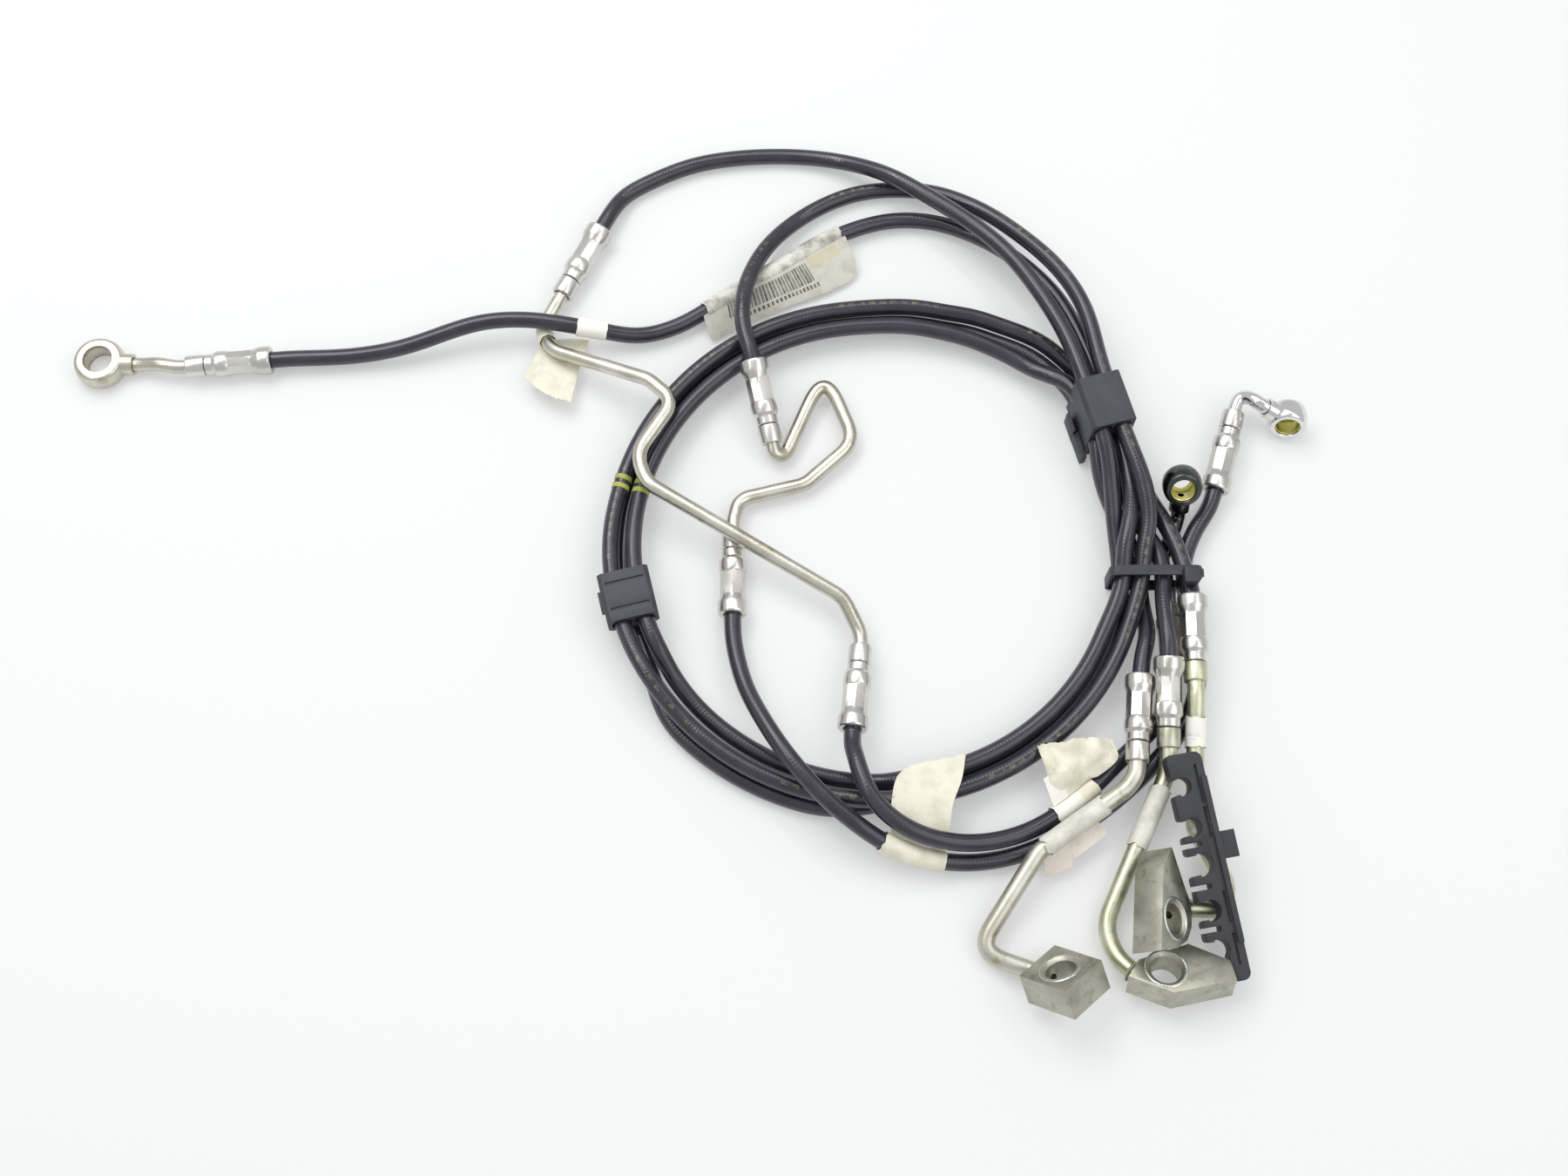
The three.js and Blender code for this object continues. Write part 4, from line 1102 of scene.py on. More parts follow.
# ---------------------------------------------------------------- banjo eyes
@dataclass
class BanjoEye:
    """A banjo eye with its socket boss, and the tinted sealing seat inside its hole."""

    name: str
    centre: Place
    axis: Place
    toward: Place
    finish: Finish
    hole: float = 5.05
    flat: float = 6.5
    radius: float = 8.15
    height: float = 10.0
    boss: float = 3.9
    reach: float = 3.4
    lined: bool = True
    port: float = 1.5
    sides: int = 72

    @property
    def seats(self) -> list[Vector]:
        """Where its tube goes.

        Returns:
            A point out on the line of its socket, and where the tube seats in it, on the layout.
        """
        up = Vector(self.axis).normalized()
        side = Vector(self.toward)
        side = (side - up * side.dot(up)).normalized()
        seat = self.radius + self.reach - SOCKET_DEPTH + FACE_GAP
        return [Vector(self.centre) + side * (seat + out) for out in (SOCKET_DEPTH + 4, 0)]

    def build(self, floor: Floor) -> None:
        """Builds the eye and its lining.

        Args:
            floor: the layout's place.
        """
        half, hole = self.height / 2, self.hole
        profile = [(hole + 0.25, -half), (self.flat, -half)]
        for k in range(1, 12):
            t = k / 12 * math.pi
            profile.append((mix(self.flat, self.radius, math.sin(t) ** 0.75), -half * math.cos(t)))
        profile += [(self.flat, half), (hole + 0.25, half), (hole, half - 0.3), (hole, -half + 0.3)]
        eye = turned(f"{self.name}_skin", profile, self.sides)
        end = self.radius + self.reach
        join(eye, rod("boss", self.boss + 0.35, ((hole + self.radius) / 2, 0, 0), (end, 0, 0)))
        cut(eye, rod("socket", LINE_RADIUS + 0.25, (end - SOCKET_DEPTH, 0, 0), (end + 1, 0, 0)))
        cut(eye, rod("port", self.port, (hole - 2, 0, 0), (end - 1, 0, 0), 20))
        place = basis(floor.at(self.centre), Vector(self.axis), Vector(self.toward))
        set_in_place(soften(eye, 0.25, 3), place, self.finish, self.name)
        if self.lined:
            lining = turned(f"{self.name}_seat", [
                (hole - 0.02, half - 0.9), (hole - 0.35, half - 1.2), (hole - 0.35, 2.2 - half),
                (hole - 1.5, 1.9 - half), (hole - 1.5, 1.0 - half), (hole - 0.02, 0.7 - half),
            ], self.sides)
            cut(lining, rod("port", self.port - 0.1, (hole - 2, 0, 0), (hole + 2, 0, 0), 20))
            set_in_place(soften(lining), place, Finish.SEAT)


LEFT_EYE = BanjoEye(
    "left_banjo_eye", (-294, 101, 4.7), (0, 0, 1), (1, -0.03, 0), Finish.LINE,
    6.1, 8.6, 10.9, 9.4, 4.2, 3.6, lined=False,
)
RIGHT_EYE = BanjoEye(
    "right_banjo_eye", (213, 73, 8.6), (-0.15, -0.95, 0.27), (-0.85, 0.24, 0.42), Finish.BRIGHT
)
DARK_EYE = BanjoEye("dark_banjo_eye", (164.5, 39.5, 15.6), (-0.05, -0.8, 0.6), (0, -0.6, -0.8), Finish.BLACK)


# ---------------------------------------------------------------- port blocks
@dataclass
class PortBlock:
    """A machined port block: an outline cut from bar, a counterbored hole and a tube socket."""

    name: str
    outline: Sequence[tuple[float, float]]
    depth: float
    centre: Place
    normal: Place
    along: Place
    hole: tuple[float, float]
    mouth: tuple[float, float]
    facing: tuple[float, float]
    bore: float = 5.9
    chamfer: float = 1.0
    land: float = 1.3
    sides: int = 72

    def socket(self, outward: float) -> Vector:
        """A point on the socket's line, on the layout.

        Args:
            outward: how far it is from the socket's mouth.

        Returns:
            The point.
        """
        up = Vector(self.normal).normalized()
        side = Vector(self.along)
        side = (side - up * side.dot(up)).normalized()
        x, y = (mouth + outward * facing for mouth, facing in zip(self.mouth, self.facing))
        return Vector(self.centre) + side * x + up.cross(side) * y

    def seats(self, lead: float) -> list[Vector]:
        """A point `lead` out on the line of its socket, and where the tube seats in it."""
        return [self.socket(lead), self.socket(FACE_GAP - SOCKET_DEPTH)]

    def build(self, floor: Floor) -> None:
        """Builds the block with its hole, the land round the hole and the braze ring.

        Args:
            floor: the layout's place.
        """
        half, rim = self.depth / 2, self.bore + self.chamfer
        body = prism(f"{self.name}_skin", self.outline, -half, half)
        tool = turned("bore", [
            (rim + 1, -half - 1), (self.bore, -half + self.chamfer),
            (self.bore, half - self.chamfer), (rim + 1, half + 1),
        ], self.sides, closed=False)
        tool.data.transform(Matrix.Translation((self.hole[0] * MM, self.hole[1] * MM, 0)))
        cut(body, tool)
        mouth = Vector((*self.mouth, 0))
        facing = Vector((*self.facing, 0)).normalized()
        cut(body, rod("pocket", PORT_TUBE_RADIUS + 0.3, mouth - facing * SOCKET_DEPTH, mouth + facing))
        cut(body, rod("port", 1.6, (*self.hole, 0), mouth - facing, 24))
        place = basis(floor.at(self.centre), Vector(self.normal), Vector(self.along))
        set_in_place(soften(body, 0.45, angle=30), place, Finish.BLOCK, self.name)
        edge = rim + self.land
        ring = turned(f"{self.name}_land", [
            (rim + 0.05, -0.2), (edge + 0.25, -0.2), (edge, 0.22), (edge - 0.25, 0.32), (rim + 0.3, 0.32),
            (rim + 0.05, 0.1),
        ], self.sides)
        on_face = place @ Matrix.Translation(Vector((*self.hole, half)) * MM)
        set_in_place(soften(ring, angle=50), on_face, Finish.MACHINED)
        fillet = [(3.55, -0.2), (4.7, -0.2), (4.5, 0.35), (4.0, 0.8), (3.55, 1.1)]
        bead = turned(f"{self.name}_braze", fillet, 40)
        start, end = floor.at(self.socket(0)), floor.at(self.socket(1))
        set_in_place(soften(bead), basis(start, end - start, UP), Finish.PASSIVATED)


BLOCK_A = PortBlock(
    "block_a", [(-12, -10.3), (12, -10.3), (12, 10.3), (-12, 10.3)], 12.7,
    (105.3, -163, 16.1), (-0.325, 0.711, 0.624), (0.61, -0.347, 0.712), (0, 0), (-12, 0), (-1, 0),
)
BLOCK_B = PortBlock(
    "block_b", [(-20.7, -3.3), (-4.8, -10.5), (19.5, -4.8), (18.4, 3.6), (3.7, 11), (-16.1, 4)], 11,
    (150.2, -160.3, 10.3), (0, 0.42, 0.9075), (1, 0, 0), (-6.2, 0.1), (-17.8, 2.4), (-0.66, 0.751),
)
BLOCK_C = PortBlock(
    "block_c", [
        (-18.8, 15.3), (-16.5, 3.5), (-12.8, -3.9), (-7.8, -7.4), (-2.4, -8.6), (3.2, -7.5),
        (7.4, -4.9), (21.8, 2.5), (13, 9.8),
    ], 12.5,
    (145.2, -134.8, 15.2), (0.734, 0, 0.679), (0, 1, 0), (-5.6, 3.3), (0.4, -8), (0.193, -0.981),
)


# ---------------------------------------------------------------- hard lines
@dataclass
class HardLine:
    """A bent steel tube between two seats."""

    name: str
    corners: list[Place]
    radius: float
    bend: float
    finish: Finish
    start: list[Vector]
    end: list[Vector]
    passes: int = 0

    def centreline(self) -> list[Vector]:
        """The tube's centreline on the layout.

        Returns:
            Its points, which stay straight in their seats.
        """
        points = bent([*self.start, *map(Vector, self.corners), *self.end], self.bend)
        if not self.passes:
            return points
        fine = evenly(points, 1)
        return [*fine[:3], *eased(fine[3:-3], self.passes), *fine[-3:]]

    def build(self, floor: Floor) -> None:
        """Sweeps the tube as a curve and makes it a mesh.

        Args:
            floor: the layout's place.
        """
        name = f"{self.name}_skin"
        points = self.centreline()
        curve = bpy.data.curves.new(name, "CURVE")
        curve.dimensions = "3D"
        curve.bevel_depth = self.radius * MM
        curve.bevel_resolution = 6
        curve.use_fill_caps = True
        spline = curve.splines.new("POLY")
        spline.points.add(len(points) - 1)
        for knot, point in zip(spline.points, points):
            knot.co = (*floor.at(point), 1)
        activate(linked(name, curve))
        bpy.ops.object.convert(target="MESH")
        dress(soften(named(name)), self.finish, self.name)


HARD_LINES = (
    HardLine("mid_line_long", [
        (-105, 118, 4.2), (-100, 106, 8), (-57, 87, 17.8), (-46, 77, 18.2), (-61, 53, 18),
        (-57, 40, 18), (24, -8, 11),
    ], LINE_RADIUS, 14, Finish.LINE, B_IN.seats, D_IN.seats[::-1]),
    HardLine("mid_line_short", [
        (0.7, 58.4, 4.2), (17.2, 96.7, 7), (30, 64, 5.6), (8.8, 44.5, 5), (-18.9, 37.7, 5),
    ], LINE_RADIUS, 12, Finish.LINE, C_IN.seats, E_IN.seats[::-1]),
    HardLine("left_banjo_tube", [(-268, 100, 7.4)], LINE_RADIUS, 12, Finish.LINE,
             A_IN.seats, LEFT_EYE.seats, 60),
    HardLine("right_banjo_tube", [(193.6, 82.4, 9.6), (197, 82, 12)], LINE_RADIUS, 7, Finish.BRIGHT,
             E_OUT.seats, RIGHT_EYE.seats, 60),
    HardLine("dark_banjo_tube", [(155.6, 10, 4.2), (163, 26, 3.6)], LINE_RADIUS, 9, Finish.BLACK,
             D_OUT.seats, DARK_EYE.seats, 20),
    HardLine("block_a_tube", [(134, -88, 13), (98.8, -112.6, 12.2), (73.8, -149.9, 4.6)],
             PORT_TUBE_RADIUS, 12, Finish.PORT_TUBE, A_OUT.seats, BLOCK_A.seats(4.2)),
    HardLine("block_b_tube", [(150.2, -82.8, 9), (123.5, -139.6, 5)],
             PORT_TUBE_RADIUS, 24, Finish.PASSIVATED, B_OUT.seats, BLOCK_B.seats(9)),
    HardLine("block_c_tube", [(163, -67, 10), (160.7, -102, 6), (172, -124, 4.2), (170.3, -133.9, 4)],
             PORT_TUBE_RADIUS, 9, Finish.PASSIVATED, C_OUT.seats, BLOCK_C.seats(5)),
)


# ---------------------------------------------------------------- the bundle clip's places
@dataclass
class BundleClip:
    """The moulded clip that holds six passes of hose in two columns of three, and its latch."""

    centre: Place = (137.2, 74.5, 0)
    along: Place = (0.26, -0.966, 0)
    pitch: float = 8.4
    floor_row: float = 5.4
    straight: float = 14.0
    wall: float = 1.5
    bore: float = 3.85
    length: float = 23.0
    columns: int = 2
    rows: int = 3

    @property
    def inward(self) -> Vector:
        """From the outer column to the inner one."""
        way = Vector(self.along).normalized()
        return Vector((way.y, -way.x, 0))

    def pass_at(self, column: int, row: int, along: float) -> Vector:
        """The place of one pass of hose, on the layout.

        Args:
            column: 0 is the outer one.
            row: 0 is the lowest.
            along: how far it is from the clip's middle.

        Returns:
            The place.
        """
        point = Vector(self.centre) + self.inward * column * self.pitch
        point += Vector(self.along).normalized() * along
        point.z = self.floor_row + row * self.pitch
        return point

    def build(self, floor: Floor) -> None:
        """Builds the clip's block and its latch.

        Args:
            floor: the layout's place.
        """
        reach = self.bore + self.wall
        top = self.floor_row + (self.rows - 1) * self.pitch + reach
        foot = (self.columns - 1) * self.pitch + reach
        half = self.length / 2
        body = prism("bundle_clip_skin", [
            (-reach, 0.05), (foot - 1, 0.05), (foot, 1), (foot, top - 1.6), (foot - 1.6, top),
            (-reach + 0.8, top), (-reach, top - 0.8),
        ], -half, half)
        for row in range(self.rows):
            for column in range(self.columns):
                x, y = column * self.pitch, self.floor_row + row * self.pitch
                cut(body, rod("bore", self.bore, (x, y, -half - 1), (x, y, half + 1), 36))
        axis = self.inward.cross(UP)
        place = basis(floor.at(self.centre), axis, self.inward)
        set_in_place(soften(body, 0.35), place, Finish.CLIP, "bundle_clip")
        toward = math.copysign(1, axis.dot(Vector(self.along)))
        gap = foot + FACE_GAP
        hook = prism("bundle_clip_latch_skin", [
            (gap, 0.4), (foot + 3, 0.4), (foot + 3, 8.6), (foot + 2, 10), (foot + 1.6, 8.2),
            (foot + 1.6, 3.4), (gap, 3.4),
        ], -4.5 - toward, 4.5 - toward)
        join(hook, box("thumb", (2.6, 6.5, 12), (foot + 1.6, 3.65, toward * 9)))
        set_in_place(soften(hook, 0.3), place, Finish.CLIP, "bundle_clip_latch")


CLIP = BundleClip()


# ---------------------------------------------------------------- hoses
@dataclass(frozen=True)
class CoilKey:
    """The radius of each lane at an angle, the floor lane's height and the left clip's lift."""

    angle: float
    a: float
    b: float
    c: float
    floor: float = 3.6
    lift: float = 0.0


@dataclass
class Coil:
    """The round coil: two lanes beside each other on a third that lies on the floor."""

    centre: tuple[float, float] = (37.5, 16.2)
    steps: int = 240
    keys: tuple[CoilKey, ...] = (
        CoilKey(-22, 99.7, 104, 108.3), CoilKey(-75, 99.7, 104, 108.3),
        CoilKey(-105, 99.7, 112.4, 108.3), CoilKey(-135, 99.7, 112.4, 108.3),
        CoilKey(-156, 99.4, 104, 108.8, lift=3.5), CoilKey(-176, 99.4, 104, 108.8, lift=3.5),
        CoilKey(-196, 99.7, 104, 108.3), CoilKey(-265, 100, 104.4, 108.8),
        CoilKey(-285, 102, 106.8, 111.6), CoilKey(-296, 103.6, 109.2, 114.8, 3.7),
        CoilKey(-310, 105.4, 112.2, 119.2, 4.4),
    )

    def lane(self, angle: float) -> CoilKey:
        """The lanes at any angle, eased between the keys.

        Args:
            angle: in degrees.

        Returns:
            A key for that angle.
        """
        index = 1
        while index < len(self.keys) - 1 and self.keys[index].angle > angle:
            index += 1
        start, end = self.keys[index - 1], self.keys[index]
        t = min(max((start.angle - angle) / (start.angle - end.angle), 0.0), 1.0)
        share = t * t * (3 - 2 * t)
        names = ("a", "b", "c", "floor", "lift")
        return CoilKey(angle, *(mix(getattr(start, n), getattr(end, n), share) for n in names))

    def at(self, radius: float, angle: float, height: float) -> Vector:
        """The place at a radius, an angle in degrees and a height, on the layout."""
        turn, (x, y) = math.radians(angle), self.centre
        return Vector((x + radius * math.cos(turn), y + radius * math.sin(turn), height))

    def point(self, hose: str, angle: float) -> Vector:
        """A hose's place in the coil, on the layout.

        Args:
            hose: its letter.
            angle: in degrees.

        Returns:
            The place.
        """
        lane = self.lane(angle)
        radius = getattr(lane, hose)
        height = lane.floor
        if hose != "b":
            across = radius - lane.b
            height += math.sqrt(max(0.0, LANE_PITCH**2 - across**2)) + lane.lift
        return self.at(radius, angle, height)

    def points(self, hose: str) -> list[Vector]:
        """All of a hose's turn."""
        first, last = self.keys[0].angle, self.keys[-1].angle
        return [self.point(hose, mix(first, last, k / self.steps)) for k in range(self.steps + 1)]


COIL = Coil()


@dataclass
class Hose:
    """A hose that is crimped into a fitting at each end."""

    letter: str
    inlet: CrimpedFitting
    outlet: CrimpedFitting
    finish: Finish = field(default=Finish.HOSE, kw_only=True)
    stretches: ClassVar[tuple[str, ...]] = ("",)
    lay: ClassVar[str] = "loose"

    def between(self) -> list[Vector]:
        """The hose's centreline on the layout, from mouth to mouth."""
        raise NotImplementedError

    def centreline(self) -> list[Vector]:
        """The hose's centreline on the layout, from inside one ferrule to inside the other."""
        depth = FERRULE_BORE_DEPTH - FACE_GAP
        return [self.inlet.along(depth), *self.between(), self.outlet.along(depth)]

    def build(self, floor: Floor) -> None:
        """Args:
            floor: the layout's place.
        """
        name = f"hose_{self.letter}"
        path = [floor.at(p) for p in eased(self.centreline())]
        piece = tube(f"{name}_skin", path, HOSE_RADIUS)
        dress(piece, self.finish, *(name + stretch for stretch in self.stretches))


@dataclass
class CoiledHose(Hose):
    """A hose that comes in to the clip, goes round the coil once, passes the clip again and leaves."""

    into: tuple[int, int]
    out_of: tuple[int, int]
    lead: list[Place]
    shared: list[Place]
    rise: list[Place]
    tail: list[Place]
    stretches: ClassVar[tuple[str, ...]] = ("_lead", "_coil", "_tail")
    lay: ClassVar[str] = "coiled"

    def between(self) -> list[Vector]:
        """The hose's centreline on the layout, from mouth to mouth.

        Returns:
            Its points.
        """
        turns = COIL.points(self.letter)
        (enter, inside, past), (again, within, leave) = (
            [CLIP.pass_at(*place, along) for along in (-CLIP.straight, 0, CLIP.straight)]
            for place in (self.into, self.out_of)
        )
        return [
            *catmull_rom([*self.inlet.throat, *map(Vector, self.lead), enter]),
            inside,
            *catmull_rom([past, *map(Vector, self.shared), turns[0]]),
            *turns[1:-1],
            *catmull_rom([turns[-1], *map(Vector, self.rise), again]),
            within,
            *catmull_rom([leave, *map(Vector, self.tail), *self.outlet.throat[::-1]]),
        ]


@dataclass
class BridgeHose(Hose):
    """A hose that crosses under the bundle from a mid line to its outlet."""

    route: list[Place]

    def between(self) -> list[Vector]:
        """The hose's centreline on the layout, from mouth to mouth."""
        return catmull_rom([*self.inlet.throat, *map(Vector, self.route), *self.outlet.throat[::-1]])


HOSES = (
    CoiledHose(
        "a", A_IN, A_OUT, (0, 1), (1, 1),
        [(-187, 104, 5.6), (-165, 107, 7.5), (-130, 117, 12.2), (-108, 118, 12.4), (-84, 115, 10.5),
         (-62, 114, 5.2), (-44, 120, 4.7), (-32, 128, 4.7), (-6, 145, 4.7), (20, 162, 4.7),
         (33, 168, 4.5), (48, 172, 4.2), (66, 171, 4.4), (82, 164, 6.5), (99, 151, 10),
         (117.5, 130, 11.8), (127, 109, 12.6)],
        [(141.6, 56, 13.4), (143.6, 42, 13.4), (141.8, 23, 16.6), (138.8, 12, 15.6), (138.4, 1, 12.7),
         (135.4, -10, 11.3)],
        [(114.8, 91.2, 11.6)],
        [(131, 55, 12), (134.8, 38, 6.4), (142.1, 22, 3.9), (145, 11, 4.4), (146, 1, 4.9),
         (146.4, -10, 4.6), (147.2, -17, 6.4), (147.3, -23, 9.8), (145.3, -29.5, 11.6)],
    ),
    CoiledHose(
        "b", B_IN, B_OUT, (1, 2), (1, 0),
        [(-72, 184, 3.8), (-60, 192, 3.6), (-40, 201, 3.6), (-16, 205, 3.6), (8, 205, 3.8),
         (28, 200, 7), (46, 190, 13), (64, 177, 15.5), (82, 163, 16.6), (97, 147, 18.4),
         (109, 128, 19.6), (119.4, 106, 21.2)],
        [(133.8, 55, 20.4), (135.6, 40, 14.6), (136.5, 23, 10.6), (137.8, 12, 8), (138.4, 1, 5.05),
         (137.8, -10, 4)],
        [],
        [(136.2, 55, 4.6), (143.4, 39, 4.2), (149.4, 22, 7.4), (154, 11, 10.8), (154.6, 1, 12.7),
         (153.2, -8, 15.3), (152.9, -19, 17.6)],
    ),
    CoiledHose(
        "c", C_IN, C_OUT, (0, 2), (0, 0),
        [(-17, 108, 18.4), (-18, 121, 18), (-16, 135, 15), (-9, 153, 10), (2, 168, 5.4),
         (16, 179, 3.8), (32, 186, 3.7), (50, 188, 4), (68, 185, 5.6), (86, 175, 9),
         (102, 160, 13.5), (117.6, 140, 19), (127.4, 120, 21.4)],
        [(142.4, 56, 22), (147.9, 38, 20.8), (149.4, 22, 17.2), (146.6, 11, 15.4), (146, 1, 12.8),
         (143, -10, 12)],
        [],
        [(144.4, 55, 4.8), (151.8, 40, 5), (157.6, 23, 11.2), (161.9, 11, 12.8), (163.4, 1, 13.2)],
        finish=Finish.HOSE_PRINTED,
    ),
    BridgeHose("d", D_IN, D_OUT, [
        (27.5, -73, 15.8), (29.5, -83, 18.6), (36, -96, 19.2), (50, -106, 17), (71, -109.5, 11.5),
        (95, -104, 6.8), (117, -90, 4.8), (135, -73, 4.2), (149, -60, 3.7), (155, -51, 5.2),
    ]),
    BridgeHose("e", E_IN, E_OUT, [
        (-20, -28, 6.6), (-16, -44, 9), (-9, -59, 13.6), (0, -74, 17.4), (14, -91, 17.9),
        (28, -103, 16.8), (42, -111, 12), (57, -115, 7), (75, -115.5, 4), (96, -111, 3.7),
        (121, -98, 3.7), (144, -79, 3.7), (161.6, -58, 3.7), (167.6, -40, 3.8), (167.4, -20, 4.2),
        (167.2, -7, 4.8), (164.2, 2, 5.05), (165.2, 11, 5.05), (171.4, 25, 5.6),
    ]),
)


# ---------------------------------------------------------------- twin clip, zip tie and comb
@dataclass
class TwinClip:
    """The snap clip on the coil's left: two bores, a parting groove and a latch tongue."""

    angle: float = -166
    width: float = 21
    height: float = 11.4
    length: float = 21
    chamfer: float = 1.6
    groove: float = 0.8
    groove_depth: float = 1.4
    rib_place: float = 5.6
    pitch: float = 9.4
    inset: float = 0.33
    bore: float = 4.2

    def build(self, floor: Floor) -> None:
        """Builds the clip.

        Args:
            floor: the layout's place.
        """
        side, half, chamfer = self.width / 2, self.height / 2, self.chamfer
        groove, floor_of_groove = self.groove, -side + self.groove_depth
        body = prism("twin_clip_skin", [
            (-side + chamfer, -half), (side - chamfer, -half), (side, -half + chamfer),
            (side, half - chamfer), (side - chamfer, half), (-side + chamfer, half),
            (-side, half - chamfer), (-side, groove), (floor_of_groove, groove),
            (floor_of_groove, -groove), (-side, -groove), (-side, -half + chamfer),
        ], -self.length / 2, self.length / 2)
        for x in (-self.pitch / 2, self.pitch / 2):
            cut(body, rod("bore", self.bore, (x, 0, -20), (x, 0, 20), 36))
        join(body, box("tongue", (1.6, 5.2, 8), (side + 0.4, 0, 0)))
        for z in (-self.rib_place, self.rib_place):
            cut(body, box("rib", (self.width - 5, 1.0, 1.4), (0, half - 0.2, z)))
        lane = COIL.lane(self.angle)
        turn = math.radians(self.angle)
        outward = Vector((math.cos(turn), math.sin(turn), 0))
        centre = COIL.at((lane.a + lane.c) / 2 - self.inset, self.angle, COIL.point("a", self.angle).z)
        place = basis(floor.at(centre), outward.cross(UP), outward)
        set_in_place(soften(body, 0.35), place, Finish.CLIP, "twin_clip")


@dataclass
class ZipTie:
    """The cinched tie round the bundle: a toothed strap, its head and the cut tail."""

    left: float = 132.2
    right: float = 169.7
    low: float = 0.02
    top: float = 19.1
    strap: float = 1.1
    width: float = 4.2
    place: float = 1.0
    corner: float = 3.4

    def ring(self, name: str, inset: float, reach: float) -> Piece:
        """A block with round corners that fills the strap's loop.

        Args:
            name: its name.
            inset: how far inside the strap's outer face it lies.
            reach: how far it goes to each side.

        Returns:
            The mesh object.
        """
        corner = self.corner - inset / 2
        left, right = self.left + inset + corner, self.right - inset - corner
        low, high = (inset or self.low) + corner, self.top - inset - corner
        points = []
        for x, y, start in ((right, low, -90), (right, high, 0), (left, high, 90), (left, low, 180)):
            points += arc(x, y, corner, start, 15)
        return prism(name, points, -reach, reach)

    def build(self, floor: Floor) -> None:
        """Builds the tie.

        Args:
            floor: the layout's place.
        """
        half, right, top = self.width / 2, self.right, self.top
        loop = self.ring("zip_tie_skin", 0, half)
        cut(loop, self.ring("inner", self.strap, half + 1))
        join(loop, box("head", (6, 5, 6.6), (right - 5.9, top + 2.1, 3.4), 0.5))
        cut(loop, box("slot", (2.2, 1.7, 4.4), (right - 3.2, top + 2.7, 3.2)))
        join(loop, box("tail", (2.6, 1.1, 3.4), (right - 1.8, top + 1.2, 1.9)))
        place = basis(floor.at((0, self.place, 0)), Vector((0, -1, 0)), Vector((1, 0, 0)))
        set_in_place(soften(loop, 0.22), place, Finish.TIE, "zip_tie")


@dataclass
class CombClip:
    """The multi-way line clip: a bar with snap recesses, slits between them, a rib and a tab."""

    corner: Place = (147.5, -77, 16.3)
    along: Place = (0.178, -0.975, -0.1355)
    length: float = 88
    spine: float = 7.4
    width: float = 13.6
    depth: float = 8
    jaw: float = 0.8
    corner_radius: float = 3.0
    rib_middle: float = 42.0
    recesses: tuple[tuple[float, float, float], ...] = (
        (12.5, 3.75, 7.4), (28.5, 3.75, 8), (43, 4.6, 9.4), (60.5, 4.1, 8.2), (75.5, 4.1, 8.2)
    )
    slits: tuple[float, ...] = (35.2, 51.5, 67.6)
    slit_depth: float = 6.4
    pockets: tuple[tuple[float, float], ...] = ((5, 20), (21.5, 33.5), (54, 66), (70, 82))

    def recess(self, at: float, radius: float, depth: float) -> list[tuple[float, float]]:
        """One recess in the open side; the last one has no second jaw.

        Args:
            at: how far along the comb its middle is.
            radius: the radius of its seat.
            depth: how deep it is.

        Returns:
            The points of its edge.
        """
        mouth, seat = radius - self.jaw, depth - radius
        jaw = [(0, mouth + 1), (0.5, mouth + 0.3), (1.6, mouth), (seat - 1.4, mouth)]
        is_last = at == self.recesses[-1][0]
        points = [(x, at - y) for x, y in jaw]
        for k in range(12 if is_last else 17):
            angle = math.radians(-110 + 220 * k / 16)
            points.append((seat + radius * math.cos(angle), at + radius * math.sin(angle)))
        if not is_last:
            points += [(x, at + y) for x, y in jaw[::-1]]
        return points

    def outline(self) -> list[tuple[float, float]]:
        """The comb's outline, its open side to -X and its length along +Y.

        Returns:
            The corners, clockwise.
        """
        deep = self.slit_depth
        cuts = [(at, [(0, at - 1), (deep, at - 1), (deep, at + 1), (0, at + 1)]) for at in self.slits]
        cuts += [(recess[0], self.recess(*recess)) for recess in self.recesses]
        left = [point for _, points in sorted(cuts) for point in points]
        edge = self.corner_radius
        x, y, spine = self.width - edge, self.length - edge, self.spine
        right = [*arc(x, y, edge, 90, -15), *arc(x, edge, edge, 0, -15)]
        return [(1.2, 0), (0, 1.2), *left, (spine, self.length - 0.8), (spine + 0.8, self.length), *right]

    def build(self, floor: Floor) -> None:
        """Builds the comb.

        Args:
            floor: the layout's place.
        """
        middle, depth, width = self.rib_middle, self.depth, self.width
        body = prism("comb_clip_skin", self.outline()[::-1], 0, depth)
        rib = box("rib", (2.2, self.length - 24, 4), (width - 1.1, middle, depth + 1))
        for vertex in rib.data.vertices:
            if vertex.co.z > depth * MM and abs(vertex.co.y - middle * MM) > 20 * MM:
                vertex.co.z -= 1.6 * MM
        join(body, rib)
        join(body, box("tab", (7, 10.5, 3), (width + 2.5, 37, depth - 1.6)))
        for low, high in self.pockets:
            cut(body, box("pocket", (1.1, high - low, 2.4), (width - 3.4, (low + high) / 2, depth)))
        soften(body, 0.4)
        way = Vector(self.along).normalized()
        up = (UP - way * UP.dot(way)).normalized()
        flip = Matrix.Scale(-1, 4, Vector((1, 0, 0)))
        body.data.transform(basis(floor.at(self.corner), up, way.cross(up)) @ flip)
        dress(soften(mended(body)), Finish.COMB, "comb_clip")


